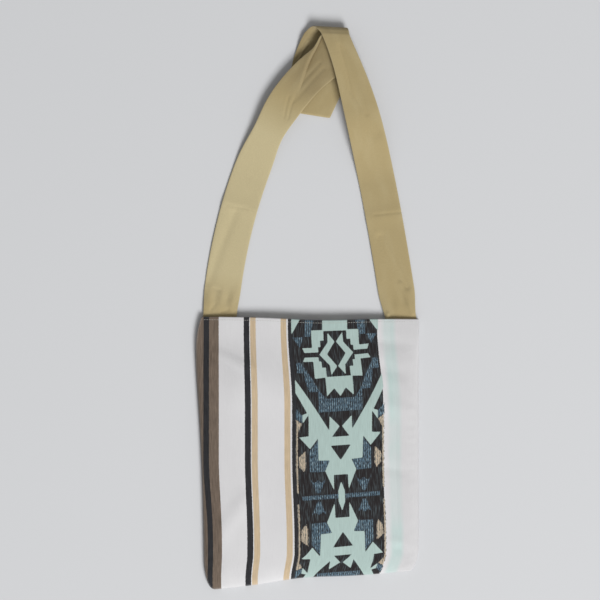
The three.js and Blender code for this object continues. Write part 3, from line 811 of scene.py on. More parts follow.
@dataclass(frozen=True)
class BagForm:
    """Plan and section of the bag. The cloth hangs a little askew, so the left side reaches lower."""

    mouth_width: float = 309.0
    mouth_tilt: float = 3.6
    left_length: float = 390.0
    right_length: float = 360.0
    side_swell: float = 9.0
    swell_depth: float = 58.0
    side_drift: float = 4.5
    corner_width: float = 13.0
    corner_height: float = 40.0
    bottom_rise: float = 4.6
    bottom_rise_at: float = 0.45
    bottom_rise_spread: float = 0.2
    bottom_rise_power: float = 4.0
    mouth_sag: float = 3.2
    mouth_sag_at: float = 0.55
    mouth_sag_spread: float = 0.2
    mouth_sag_depth: float = 60.0
    fullness: float = 15.0
    full_from: float = 130.0
    mouth_gap: float = 6.5
    side_squareness: float = 4.0
    bottom_squareness: float = 8.0
    wave_height: float = 1.2
    wave_count: float = 1.5
    wave_slant: float = 0.6
    cloth: float = 1.2
    lining: float = 0.6
    seam_gap: float = 0.3
    hem_depth: float = 10.0
    seam_allowance: float = 9.0
    seam_ease: float = 60.0
    turn_slack: float = 1.2
    strap_tuck: float = 12.0
    tuck_clearance: float = 5.0
    strap_thickness: float = 2.0
    folds_full_at: float = 1.0 / 3.0
    folds: tuple[SoftFold, ...] = (
        SoftFold(((-140.0, 70.0), (-126.0, 330.0)), 9.0, 0.7),
        SoftFold(((-135.0, 50.0), (-88.0, 72.0)), 8.0, 1.6),
        SoftFold(((-128.0, 308.0), (-92.0, 260.0)), 13.0, 1.9),
        SoftFold(((-85.0, 88.0), (-38.0, 98.0)), 33.0, 3.2),
        SoftFold(((90.0, 33.0), (155.0, 40.0)), 9.0, -1.2),
        SoftFold(((105.0, 72.0), (157.0, 84.0)), 12.0, -1.8),
        SoftFold(((95.0, 122.0), (157.0, 137.0)), 13.0, 1.7),
        SoftFold(((110.0, 214.0), (157.0, 226.0)), 9.0, -1.4),
        SoftFold(((118.0, 318.0), (157.0, 326.0)), 7.0, 1.2),
        SoftFold(((128.0, 330.0), (151.0, 352.0)), 6.0, -1.6),
        SoftFold(((20.0, 260.0), (95.0, 330.0)), 20.0, 0.8),
    )

    @property
    def ply(self) -> float:
        """Distance between two touching layers of the outer cloth."""
        return self.cloth + self.seam_gap

    @property
    def hem_radius(self) -> float:
        """Radius at which the mouth's hems turn over."""
        return self.ply / 2.0

    @property
    def hem_edge(self) -> float:
        """Depth of the hem's fold line, from which its turned cloth reaches up to the mouth line."""
        return self.hem_radius + self.cloth / 2.0

    @property
    def back_level(self) -> float:
        """Height of the back's mid-surface."""
        return self.cloth / 2.0

    @property
    def turn_radius(self) -> float:
        """Radius at which the front turns over at the seams."""
        return self.cloth / 2.0 + self.turn_slack

    @property
    def allowance_level(self) -> float:
        """Height of the front's turned-in allowances, on those of the back."""
        return self.back_level + 2.0 * self.ply

    @property
    def seam_rim(self) -> float:
        """Height of the front's edge where the seam holds it."""
        return self.allowance_level + self.turn_radius

    @property
    def strap_mouth_level(self) -> float:
        """Height of the strap's ends, on the back's hem."""
        return 2.0 * self.ply + self.strap_thickness / 2.0

    @property
    def lining_high(self) -> float:
        """Height of the back lining over the strap's ends."""
        return self.strap_mouth_level + self.strap_thickness / 2.0 + self.seam_gap + self.lining / 2.0

    @property
    def hem_drop(self) -> float:
        """How far the front lining lies under the front at the hem."""
        return self.ply + self.cloth / 2.0 + self.seam_gap + self.lining / 2.0

    @property
    def mouth_rim(self) -> float:
        """Height of the front's edge at the mouth."""
        return self.lining_high + self.lining + self.seam_gap + self.hem_drop

    @property
    def tuck_end(self) -> float:
        """Depth at which the side seam begins to close below the strap's ends."""
        return self.strap_tuck + self.tuck_clearance

    @property
    def seam_start(self) -> float:
        """Depth from which the side seam is closed."""
        return self.tuck_end + self.seam_ease

    @property
    def middle_length(self) -> float:
        """Depth of the bag down its middle."""
        return (self.left_length + self.right_length) / 2.0

    def corner_inset(self, depth: Array, length: float) -> Array:
        """How far the rounded bottom corner draws a side edge in: a quarter of an ellipse."""
        reach = np.clip((depth - length + self.corner_height) / self.corner_height, 0.0, 1.0)
        return self.corner_width * (1.0 - np.sqrt(1.0 - reach**2))

    def left_x(self, down: Array) -> Array:
        """Left edge of the bag.

        It swells out below the mouth as a ratio times the exponential of one less that ratio, drifts in
        evenly, and ends in a rounded corner.

        Args:
            down: Share of the way from the mouth to the bottom.

        Returns:
            The edge's places in x.
        """
        depth = down * self.left_length
        ratio = np.maximum(depth, 0.0) / self.swell_depth
        swell = self.side_swell * ratio * np.exp(1.0 - ratio)
        inset = self.corner_inset(depth, self.left_length)
        return -self.mouth_width / 2.0 - swell + self.side_drift * down + inset

    def right_x(self, down: Array) -> Array:
        """Right edge, straight down to its rounded corner."""
        return self.mouth_width / 2.0 - self.corner_inset(down * self.right_length, self.right_length)

    def plan(self, across: Array, down: Array) -> tuple[Array, Array]:
        """Plan of the bag: its two sides blended straight across, a sagging mouth and a risen bottom.

        Args:
            across: Share of the way from the left side to the right one.
            down: Share of the way from the mouth to the bottom.

        Returns:
            The places in x and y.
        """
        x = lerp(self.left_x(down), self.right_x(down), across)
        left_y = self.mouth_tilt / 2.0 - down * self.left_length
        right_y = -self.mouth_tilt / 2.0 - down * self.right_length
        risen = bump(across - self.bottom_rise_at, self.bottom_rise_spread)
        rise = self.bottom_rise * risen * np.abs(down) ** self.bottom_rise_power
        near_mouth = 1.0 - smooth_step(self.depth(down), 0.0, self.mouth_sag_depth)
        sag = self.mouth_sag * bump(across - self.mouth_sag_at, self.mouth_sag_spread) * near_mouth
        return x, lerp(left_y, right_y, across) + rise - sag

    def width(self, down: Array) -> Array:
        """Width of the bag."""
        return self.right_x(down) - self.left_x(down)

    def length(self, across: Array) -> Array:
        """Length of the bag."""
        return lerp(self.left_length, self.right_length, across)

    def depth(self, down: Array) -> Array:
        """Depth below the mouth, taken down the middle of the bag."""
        return np.clip(down, 0.0, 1.0) * self.middle_length

    def arch(self, across: Array) -> Array:
        """Low arch of the mouth: one less the square of the share from the middle."""
        return 1.0 - (2.0 * across - 1.0) ** 2

    def pillow(self, across: Array) -> Array:
        """Section below the mouth, with round sides: the root of one less a power of the share."""
        return np.sqrt(np.maximum(0.0, 1.0 - np.abs(2.0 * across - 1.0) ** self.side_squareness))

    def bottom_closing(self, down: Array) -> Array:
        """Share of the fullness that is left near the bottom: the root of one less a power of the share."""
        return np.sqrt(1.0 - np.clip(down, 0.0, 1.0) ** self.bottom_squareness)

    def seam_taken(self, depth: Array) -> Array:
        """Share of the side seam's hold: none at the strap ends, all of it below them."""
        return smooth_step(depth, self.tuck_end, self.seam_start)

    def openness(self, depth: Array) -> Array:
        """Share of the way from the mouth's section to the full one."""
        return smooth_step(depth, 0.0, self.full_from)

    def front_wave(self, across: Array, down: Array) -> Array:
        """Shallow folds that run down the front: a slanted sine wave."""
        turn = TURN * (self.wave_count * across + self.wave_slant * down)
        return self.wave_height * self.arch(across) * self.openness(self.depth(down)) * np.sin(turn)

    def front_height(self, across: Array, down: Array) -> Array:
        """Height of the front: its edge, and a crown that goes from an arch at the mouth to a pillow.

        Args:
            across: Share of the way from the left side to the right one.
            down: Share of the way from the mouth to the bottom.

        Returns:
            The height of the mid-surface, without its small folds.
        """
        depth = self.depth(down)
        taken = self.seam_taken(depth)
        edge = lerp(self.mouth_rim, self.seam_rim, taken)
        full = self.openness(depth)
        middle = lerp(self.mouth_rim + self.mouth_gap, self.seam_rim + self.fullness, full)
        profile = lerp(self.arch(across), self.pillow(across), taken)
        crown = (middle - edge) * profile + self.front_wave(across, down)
        return edge + crown * self.bottom_closing(down)

    def front_relief(self, across: Array, down: Array) -> Array:
        """Small folds of the front, which fade out towards its edges.

        Args:
            across: Share of the way from the left side to the right one.
            down: Share of the way from the mouth to the bottom.

        Returns:
            The sum of the folds' lifts at each place.
        """
        x, y = self.plan(across, down)
        lift = sum(fold.height(x, -y) for fold in self.folds)
        return lift * np.minimum(1.0, self.arch(across) / self.folds_full_at) * self.bottom_closing(down)


@dataclass(frozen=True)
class PanelLines:
    """Lines of a panel in one direction: where each lies on the face, and how far past its edge."""

    at: Array
    past: Array
    strip: Array

    @classmethod
    def around(cls, before: Array, face: Array, after: Array) -> "PanelLines":
        """Lay the lines of a face between those of its two turned strips.

        Args:
            before: Distances past the first edge, nearest first.
            face: Places on the face, up to 1 at its last edge.
            after: Distances past the last edge, nearest first.

        Returns:
            All the lines in order.
        """
        sizes = (len(before), len(face), len(after))
        return cls(
            at=np.concatenate([np.full(sizes[0], face[0]), face, np.ones(sizes[2])]),
            past=np.concatenate([before[::-1], np.zeros(sizes[1]), after]),
            strip=np.repeat([strip.value for strip in Strip], sizes),
        )

    def turned(self) -> Array:
        """Which cells along the lines lie in a turned strip."""
        return (self.strip[1:] != Strip.FACE.value) | (self.strip[:-1] != Strip.FACE.value)

    def reach(self) -> Array:
        """How far past the edge each cell along the lines reaches."""
        return np.maximum(self.past[1:], self.past[:-1])


def turn_lines(radius: float, angle: float, straight: float) -> Array:
    """Distances past an edge: even steps round a bend, then along the straight behind it.

    Args:
        radius: Radius of the bend.
        angle: Angle of the bend in radians.
        straight: Length of the straight.

    Returns:
        The distances, nearest first.
    """
    bend = radius * angle
    round_bend = np.linspace(0.0, bend, BEND_STEPS + 1)[1:]
    behind = np.linspace(bend, bend + straight, STRAIGHT_STEPS + 1)[1:]
    return np.concatenate([round_bend, behind])


def half_turn(past: Array, radius: float) -> tuple[Array, Array]:
    """Where cloth goes that makes half a turn past an edge and comes straight back.

    Args:
        past: Distances along the cloth past the edge.
        radius: Radius of the turn.

    Returns:
        How far outside the edge the cloth lies, and how far off its own face.
    """
    bend = np.minimum(past / radius, math.pi)
    return radius * np.sin(bend) - (past - bend * radius), radius * (1.0 - np.cos(bend))


def quarter_turn(past: Array, radius: float) -> tuple[Array, Array]:
    """Where cloth goes that makes a quarter turn down past an edge, and on straight inwards.

    Args:
        past: Distances along the cloth past the edge.
        radius: Radius of the turn.

    Returns:
        How far inside the edge the cloth lies, and how far below its own face.
    """
    bend = np.minimum(past / radius, QUARTER_TURN)
    return radius * (1.0 - np.cos(bend)) + past - bend * radius, radius * np.sin(bend)


@dataclass
class OuterPanels:
    """The front and the back of the bag, in the same striped cloth, with turned edges."""

    form: BagForm
    finish: StripedCloth
    band_spacing: float = 1.3
    plain_spacing: float = 3.4
    edge_spacing: float = 0.5
    row_spacing: float = 1.6
    fine_places: int = 2001
    band_shift: float = 4.0
    band_margin: float = 8.0
    back_coarseness: float = 1.35
    pucker_lift: float = 0.14
    pucker_pitch: float = 17.0
    pucker_drift: float = 12.0
    pucker_beat: float = 190.0
    side_pucker_at: float = 10.0
    side_pucker_spread: float = 7.0
    bottom_pucker_at: float = 9.0
    bottom_pucker_spread: float = 6.0
    wall_bulge: float = 0.5

    def columns(self, coarseness: float) -> Array:
        """Places across a panel, close together in the figured band and at the round sides.

        Args:
            coarseness: How many times as far apart as on the front the places lie.

        Returns:
            Shares of the way from the left side to the right one.
        """
        form = self.form
        places = np.linspace(0.0, 1.0, self.fine_places)
        x = (places - 0.5) * form.mouth_width
        from_side = form.mouth_width / 2.0 - np.abs(x)
        from_band = np.abs(x - self.finish.figure_axis - self.band_shift)
        in_band = from_band < self.finish.figure_half_width + self.band_margin
        spacing = np.where(in_band, self.band_spacing, self.plain_spacing)
        spacing = closer_at_edge(spacing, self.edge_spacing, from_side)
        return spaced_places(places, coarseness * spacing / form.mouth_width)

    def rows(self, coarseness: float) -> Array:
        """Places down a panel from its hem, close together where it curves under at the bottom.

        Args:
            coarseness: How many times as far apart as on the front the places lie.

        Returns:
            Shares of the way from the mouth to the bottom.
        """
        form = self.form
        places = np.linspace(form.hem_edge / form.middle_length, 1.0, self.fine_places)
        from_bottom = (1.0 - places) * form.middle_length
        spacing = closer_at_edge(self.row_spacing, self.edge_spacing, from_bottom)
        return spaced_places(places, coarseness * spacing / form.middle_length)

    def kept_cells(self, rows: PanelLines, columns: PanelLines, bend: float) -> Array:
        """Cells that are cloth: the face, the mouth's hem, and the allowances at the sides and bottom.

        Args:
            rows: Lines down the panel.
            columns: Lines across the panel.
            bend: Length of the bend at the start of an allowance, which goes on to the mouth and the corners.

        Returns:
            One flag for each cell.
        """
        form = self.form
        depth = form.depth((rows.at[1:] + rows.at[:-1]) / 2.0)
        straight = (depth > form.seam_start) & (depth < form.middle_length - form.corner_height)
        beside = straight[:, None] | (columns.reach() <= bend + LENGTH_TOLERANCE)
        across = (columns.at[1:] + columns.at[:-1]) / 2.0
        corner = form.seam_allowance + form.corner_width
        clear = np.minimum(across, 1.0 - across) * form.mouth_width > corner
        below = clear | (rows.reach() <= bend + LENGTH_TOLERANCE)[:, None]
        is_hem = (rows.strip[:-1] == Strip.BEFORE.value)[:, None]
        ends = is_hem | below
        side_cell = columns.turned()[None, :]
        end_cell = rows.turned()[:, None]
        return ~(side_cell & end_cell) & (~side_cell | beside) & (~end_cell | ends)

    def dressed(self, piece: bpy.types.Object, node: str, slot: str, rests_on: str) -> bpy.types.Object:
        """Give a panel its material and hide the solid that it stands for.

        Args:
            piece: The panel.
            node: Solid of the frame that it replaces.
            slot: Name of a finish for it, which is kept but not used.
            rests_on: Solid that it lies on.

        Returns:
            The panel.
        """
        form = self.form
        flat_width = form.mouth_width + 2.0 * form.seam_allowance
        flat_length = form.middle_length + form.seam_allowance + form.hem_depth
        cloth = SewnCloth(node, slot, (flat_width, flat_length), held="laid", rests_on=(rests_on,))
        return cloth.dress(piece, self.finish.material(f"{node}_striped_cotton"))

    def cloth_places(self, rows: PanelLines, columns: PanelLines) -> dict[str, Array]:
        """Where a panel's points lie on the flat cloth, how far from its edges, and how deep in the figure.

        Args:
            rows: Lines down the panel.
            columns: Lines across the panel.

        Returns:
            The vectors that the mesh carries.
        """
        down, across = np.meshgrid(rows.at, columns.at, indexing="ij")
        x, y = self.form.plan(across, down)
        on_cloth, along = self.finish.place(self.form, x, -y)
        on_cloth = on_cloth + columns.past * columns.strip
        along = along + (rows.past * rows.strip)[:, None]
        from_side = np.minimum(across, 1.0 - across) * self.form.mouth_width
        from_end = np.minimum(down, 1.0 - down) * self.form.middle_length
        place = np.stack([on_cloth, along, np.minimum(from_side, from_end)], axis=-1)
        return {CLOTH_PLACE: place, FIGURE_DEPTH: self.finish.figure_depths(on_cloth, along)}

    def front(self) -> bpy.types.Object:
        """Make the front: a soft pillow with a hem at the mouth and allowances turned in at the seams.

        Past the mouth the cloth makes half a turn and goes back under itself. Past a seam it makes a quarter
        turn down and goes straight in, and beside the strap ends it goes straight down to the back.

        Returns:
            The front panel.
        """
        form = self.form
        bend = form.turn_radius * QUARTER_TURN
        hem = turn_lines(form.hem_radius, math.pi, form.hem_depth)
        seam = turn_lines(form.turn_radius, QUARTER_TURN, form.seam_allowance)
        rows = PanelLines.around(hem, self.rows(1.0), seam)
        columns = PanelLines.around(seam, self.columns(1.0), seam)
        row_at, column_at = rows.at[:, None], columns.at[None, :]
        in_hem = rows.strip == Strip.BEFORE.value
        hem_out, hem_drop = half_turn(rows.past, form.hem_radius)
        end_in, end_drop = quarter_turn(rows.past, form.turn_radius)
        row_move = np.where(in_hem, hem_out, end_in)[:, None]
        row_drop = np.where(in_hem, hem_drop, end_drop)[:, None]
        side_in, side_drop = quarter_turn(columns.past, form.turn_radius)
        taken = form.seam_taken(form.depth(row_at))
        wall = np.minimum(columns.past / bend, 1.0)
        wall_drop = wall * (lerp(form.mouth_rim, form.seam_rim, taken) - form.allowance_level)
        side_in = lerp(-self.wall_bulge * wall, side_in, taken)
        side_drop = lerp(wall_drop, side_drop, taken)
        down = row_at - row_move / form.length(column_at)
        across = column_at - columns.strip * side_in / form.width(row_at)
        x, y = form.plan(across, down)
        face_down = np.where(in_hem[:, None], down, row_at)
        relief = form.front_relief(column_at, face_down) + self.seam_puckers(column_at, face_down)
        height = form.front_height(column_at, face_down) + relief - row_drop - side_drop
        grid = ClothGrid(
            points=np.stack([x, y, height], axis=-1),
            half=form.cloth / 2.0,
            known=self.cloth_places(rows, columns),
            kept=self.kept_cells(rows, columns, bend),
        )
        return self.dressed(grid.sheet("striped_front"), "front_panel", "woven_front", "back_panel")

    def seam_puckers(self, across: Array, down: Array) -> Array:
        """Small puckers beside the seams: a sine wave of wandering pitch along each, which dies away from it.

        Args:
            across: Share of the way from the left side to the right one.
            down: Share of the way from the mouth to the bottom.

        Returns:
            The lift at each place.
        """
        form = self.form
        depth = form.depth(down)
        from_side = np.minimum(across, 1.0 - across) * form.mouth_width
        from_bottom = form.middle_length - depth

        def ripple(run: Array) -> Array:
            """Wave along a seam, whose pitch wanders."""
            wandered = run + self.pucker_drift * np.sin(TURN * run / self.pucker_beat)
            return np.sin(TURN * wandered / self.pucker_pitch)

        near_side = bump(from_side - self.side_pucker_at, self.side_pucker_spread)
        near_bottom = bump(from_bottom - self.bottom_pucker_at, self.bottom_pucker_spread)
        puckers = ripple(depth) * near_side + ripple(across * form.mouth_width) * near_bottom
        return self.pucker_lift * puckers * form.seam_taken(depth)

    def back(self) -> bpy.types.Object:
        """Make the back: flat on the surface, with its hem and allowances folded up onto it.

        Returns:
            The back panel.
        """
        form = self.form
        radius = form.hem_radius
        hem = turn_lines(radius, math.pi, form.hem_depth)
        seam = turn_lines(radius, math.pi, form.seam_allowance)
        rows = PanelLines.around(hem, self.rows(self.back_coarseness), seam)
        columns = PanelLines.around(seam, self.columns(self.back_coarseness), seam)
        row_at, column_at = rows.at[:, None], columns.at[None, :]
        row_out, row_fold = half_turn(rows.past, radius)
        side_out, side_fold = half_turn(columns.past, radius)
        down = row_at + (rows.strip * row_out)[:, None] / form.length(column_at)
        across = column_at + columns.strip * side_out / form.width(row_at)
        x, y = form.plan(across, down)
        height = form.back_level + row_fold[:, None] + side_fold
        grid = ClothGrid(
            points=np.stack([x, y, height], axis=-1),
            half=form.cloth / 2.0,
            known=self.cloth_places(rows, columns),
            kept=self.kept_cells(rows, columns, radius * math.pi),
        )
        return self.dressed(grid.sheet("striped_back"), "back_panel", "woven_back", "floor")


@dataclass
class Lining:
    """The two lining panels, inside the hems at the mouth and inside the allowances below."""

    form: BagForm
    finish: CottonTwill
    mouth_step: float = 3.0
    ease: float = 2.5
    slack: float = 0.5
    spacing: float = 4.0
    edge_spacing: float = 1.0
    fine_places: int = 1001

    @property
    def inset(self) -> float:
        """Distance of the lining's edge from the seam."""
        return self.form.seam_allowance + self.ease

    @property
    def bottom(self) -> float:
        """Depth of the lining's bottom edge."""
        return self.form.middle_length - self.inset

    def spot(self, across: Array, depth: Array) -> tuple[Array, Array]:
        """Where places of the lining lie on the outer panels, inside their seams.

        Args:
            across: Share of the way across the lining.
            depth: Depth below the mouth.

        Returns:
            Shares of the way across and down the outer panels.
        """
        form = self.form
        down = depth / form.middle_length
        share = lerp(self.mouth_step, self.inset, form.seam_taken(depth)) / form.width(down)
        return lerp(share, 1.0 - share, across), down

    def back_height(self, across: Array, depth: Array) -> Array:
        """Height of the back lining: over the strap ends at the mouth, then down onto the back."""
        low = self.form.cloth + self.form.seam_gap + self.form.lining / 2.0
        return lerp(self.form.lining_high, low, self.form.seam_taken(depth))

    def front_height(self, across: Array, depth: Array) -> Array:
        """Height of the front lining: under the front, and down onto the back lining at its edges.

        Args:
            across: Share of the way across the lining.
            depth: Depth below the mouth.

        Returns:
            The height of the mid-surface.
        """
        form = self.form
        seat = self.back_height(across, depth) + form.lining + form.seam_gap
        body_drop = form.cloth / 2.0 + self.slack + form.lining / 2.0
        drop = lerp(form.hem_drop, body_drop, smooth_step(depth, form.hem_depth, form.full_from))
        down = (depth - self.mouth_step) / (self.bottom - self.mouth_step)
        share = lerp(1.0, form.pillow(across), form.openness(depth)) * form.bottom_closing(down)
        spot = self.spot(across, depth)
        cover = form.front_height(*spot) + np.minimum(0.0, form.front_relief(*spot))
        return seat + np.maximum(0.0, cover - drop - seat) * share

    def panel(self, name: str, node: str, height: AtPlaces, on: str) -> bpy.types.Object:
        """Make one lining panel.

        Args:
            name: Name of the piece.
            node: Solid of the frame that it replaces.
            height: Height of the panel at shares across and depths.
            on: Solid that it lies on.

        Returns:
            The panel.
        """
        form = self.form
        places = np.linspace(0.0, 1.0, self.fine_places)
        from_side = np.minimum(places, 1.0 - places) * form.mouth_width
        side_spacing = closer_at_edge(self.spacing, self.edge_spacing, from_side)
        depths = np.linspace(self.mouth_step, self.bottom, self.fine_places)
        down_spacing = closer_at_edge(self.spacing, self.edge_spacing, self.bottom - depths)
        depth, across = np.meshgrid(
            spaced_places(depths, down_spacing),
            spaced_places(places, side_spacing / form.mouth_width),
            indexing="ij",
        )
        x, y = form.plan(*self.spot(across, depth))
        grid = ClothGrid(
            points=np.stack([x, y, height(across, depth)], axis=-1),
            half=form.lining / 2.0,
            known={CLOTH_PLACE: np.stack([x, -y, depth - self.mouth_step], axis=-1)},
        )
        flat = form.mouth_width - 2.0 * self.mouth_step, self.bottom - self.mouth_step
        cloth = SewnCloth(node, "lining_cotton", flat, held="laid", rests_on=(on,))
        return cloth.dress(grid.sheet(name), self.finish.material(f"{node}_cotton"))

    def build(self) -> None:
        """Make both lining panels."""
        self.panel("lining_back", "back_lining", self.back_height, "back_panel")
        self.panel("lining_front", "front_lining", self.front_height, "back_lining")


@dataclass(frozen=True)
class Fold:
    """A fold line across the strap: its middle in plan and its slope in degrees."""

    at: tuple[float, float]
    slope: float

    @property
    def place(self) -> Array:
        """Middle of the fold line."""
        return np.array(self.at)


@dataclass(frozen=True)
class Course:
    """How far a leg of the strap keeps to its end directions, and those of them that are set, in degrees."""

    leave_reach: float
    arrive_reach: float
    leave: float = 0.0
    arrive: float = 0.0

    def curve(self, start: Array, leave: Array, end: Array, arrive: Array) -> Array:
        """Control points of the leg's plan curve, a cubic between two places with two end directions."""
        return np.stack([start, start + self.leave_reach * leave, end - self.arrive_reach * arrive, end])


@dataclass(frozen=True)
class Leg:
    """One leg of the strap between two folds or ends: its plan curve, and which way its cross line points."""

    curve: Array
    side: Side
    start_fold: Array | None
    end_fold: Array | None


@dataclass(frozen=True)
class StrapRun:
    """Stations along the strap: middle, direction across, half width, height, lift, and its edge's draw."""

    centre: Array
    line: Array
    half: Array
    height: Array
    lift: Array
    draw: Array

    @classmethod
    def joined(cls, runs: list["StrapRun"]) -> "StrapRun":
        """One run made of several that follow each other."""
        names = [part.name for part in fields(cls)]
        return cls(*(np.concatenate([getattr(run, name) for run in runs]) for name in names))


@dataclass
class Strap:
    """The strap: one cotton band with both ends in the mouth, its spare length folded behind the crossing."""

    form: BagForm
    finish: CottonTwill
    width: float = 52.0
    inset: float = 0.4
    base_width: dict[Side, float] = field(default_factory=lambda: {Side.LEFT: 48.0, Side.RIGHT: 44.0})
    base_ease: float = 42.0
    base_level: float = 11.0
    ply_gap: float = 1.4
    crossing_gap: float = 6.0
    top_fold: Fold = Fold((35.9, 405.2), -3.0)
    low_fold: Fold = Fold((1.3, 293.0), -9.0)
    cross_fold: Fold = Fold((39.7, 370.9), -44.0)
    right_course: Course = Course(90.0, 133.0, leave=99.5, arrive=113.6)
    under_course: Course = Course(58.0, 50.0, arrive=-83.0)
    middle_course: Course = Course(30.0, 30.0)
    left_course: Course = Course(124.0, 120.0, arrive=-93.0)
    arm_level: float = 112.0
    arm_rise: float = 110.0
    neck_width: float = 36.0
    neck_reach: float = 90.0
    neck_lift: float = 3.0
    waist_width: float = 44.4
    waist_from_fold: float = 148.0
    waist_reach: float = 32.0
    pleat_line: tuple[tuple[float, float], ...] = (
        (0.0, -25.0), (13.0, -23.5), (22.5, -20.9), (34.0, -15.7), (44.0, -10.3), (62.5, -0.9), (80.0, 7.0))
    pleat_lift: float = 2.0
    pleat_depth: float = 5.2
    pleat_rim: float = 8.0
    pleat_valley: float = 10.0
    pleat_drop: tuple[float, float] = (-0.8, 1.4)
    pleat_fade: tuple[float, float] = (30.0, 85.0)
    crest_lift: float = 6.0
    crest_reach: float = 28.0
    crest_from_middle: float = 0.45
    corner_draw: float = 12.0
    corner_reach: float = 11.0
    crease_lift: float = 1.2
    crease_spread: float = 12.0
    crease_from_mouth: dict[Side, float] = field(
        default_factory=lambda: {Side.LEFT: 160.0, Side.RIGHT: 150.0})
    base_pucker: dict[Side, float] = field(default_factory=lambda: {Side.LEFT: 1.6, Side.RIGHT: 0.8})
    pucker_reach: float = 26.0
    pucker_count: int = 3
    step: float = 1.7
    fine_places: int = 601
    columns: int = 56
    edge_crowding: float = 0.8
    hairpin_steps: int = 18
    edge_power: float = 14.0
    thin_edge: float = 0.12
    looseness: float = 1.3
    folds_full_at: float = 4.0
    arm_folds: dict[Side, tuple[SoftFold, ...]] = field(default_factory=lambda: {
        Side.LEFT: (
            SoftFold(((-18.0, 158.0), (11.0, 160.0)), 2.4, -0.5),
            SoftFold(((-4.0, 150.0), (-20.0, 48.0)), 7.0, -1.2),
            SoftFold(((-12.0, 38.0), (-4.0, 37.0)), 2.6, -0.6),
            SoftFold(((-15.0, 8.0), (-9.0, 16.0)), 2.4, -0.7),
            SoftFold(((2.0, 6.0), (12.0, 10.0)), 2.6, -0.8),
        ),
        Side.RIGHT: (
            SoftFold(((-13.0, 154.0), (25.0, 151.0)), 1.9, -0.6),
            SoftFold(((-10.0, 120.0), (15.0, 45.0)), 5.5, -2.1),
            SoftFold(((8.0, 50.0), (21.0, 6.0)), 4.0, 1.2),
            SoftFold(((6.0, 296.0), (-7.5, 334.0), (-5.0, 368.0), (-1.3, 401.0)), 3.0, -0.9),
            SoftFold(((14.0, 270.0), (3.0, 310.0), (-2.0, 350.0), (0.0, 390.0)), 11.0, -2.0),
            SoftFold(((-22.0, 2.0), (-20.0, 9.0)), 4.0, 2.4),
        ),
    })
    crest_wrinkle: SoftFold = SoftFold(((-17.0, 12.0), (-18.0, 46.0)), 1.7, 1.3)
    crossing_folds: tuple[SoftFold, ...] = (
        SoftFold(((-3.9, 23.0), (-1.4, 37.5), (0.0, 57.0), (4.2, 78.5)), 2.8, -0.7),
        SoftFold(((5.7, 25.5), (8.3, 43.5), (9.8, 67.5), (9.2, 88.5)), 3.0, -0.7),
        SoftFold(((-1.8, 88.5), (3.6, 103.5), (10.0, 117.0)), 2.0, -0.7),
        SoftFold(((5.2, 83.0), (8.7, 97.5), (16.0, 116.0)), 2.1, -0.7),
    )

    @property
    def floor_level(self) -> float:
        """Height of the strap's mid-surface where it lies on the surface under the bag."""
        return self.form.strap_thickness / 2.0

    @property
    def levels(self) -> tuple[float, float, float, float]:
        """Heights of the plies where they lie on each other.

        Returns:
            The heights of the under leg, the middle leg, the left arm and the right arm.
        """
        ply = self.form.strap_thickness + self.ply_gap
        loose = self.form.strap_thickness + self.crossing_gap
        middle = self.floor_level + ply
        return self.floor_level, middle, middle + loose, middle + 2.0 * loose

    @property
    def shares(self) -> Array:
        """Places across the strap from -1 to 1, closer together at its edges."""
        even = np.linspace(-1.0, 1.0, self.columns + 1)
        return lerp(even, np.sin(even * QUARTER_TURN), self.edge_crowding)

    @property
    def crest_share(self) -> Array:
        """Share of the lift of a crest across the strap: none at the middle, all of it at the first edge."""
        return smooth_step(-self.shares, self.crest_from_middle, 1.0)

    def along_curve(self, curve: Array) -> tuple[Array, Array, Array]:
        """Evenly spaced stations on a cubic curve.

        Args:
            curve: The four control points.

        Returns:
            Distances from the start, places and unit directions of the stations.
        """
        fine = np.linspace(0.0, 1.0, self.fine_places)
        run = self.cubic(curve, fine)
        gone = np.concatenate([[0.0], np.cumsum(np.hypot(*np.diff(run, axis=0).T))])
        done = np.linspace(0.0, gone[-1], math.ceil(gone[-1] / self.step) + 1)
        share = np.interp(done, gone, fine)[:, None]
        legs = np.diff(curve, axis=0)
        way = (1.0 - share) ** 2 * legs[0] + 2.0 * share * (1.0 - share) * legs[1] + share**2 * legs[2]
        return done, self.cubic(curve, share[:, 0]), way / np.linalg.norm(way, axis=1, keepdims=True)

    def cubic(self, curve: Array, share: Array) -> Array:
        """Places on a cubic curve, by the four weights of its control points.

        Args:
            curve: The four control points.
            share: Shares of the way along the curve.

        Returns:
            The places.
        """
        rest = 1.0 - share
        weights = np.stack([rest**3, 3.0 * share * rest**2, 3.0 * share**2 * rest, share**3], axis=1)
        return weights @ curve

    def fold_skew(self, square: Array, fold: Array | None, distance: Array) -> Array:
        """Turn of the cross line from square to the fold's own direction, close to that fold.

        Args:
            square: Directions square to the strap.
            fold: Direction of the fold line, if there is one.
            distance: Distances from the fold.

        Returns:
            The angles in radians, which die away over the strap's width.
        """
        if fold is None:
            return np.zeros_like(distance)
        crossing = square[:, 0] * fold[1] - square[:, 1] * fold[0]
        whole = np.arctan2(crossing, square @ fold)
        return whole * (1.0 - smooth_step(distance, 0.0, self.width))

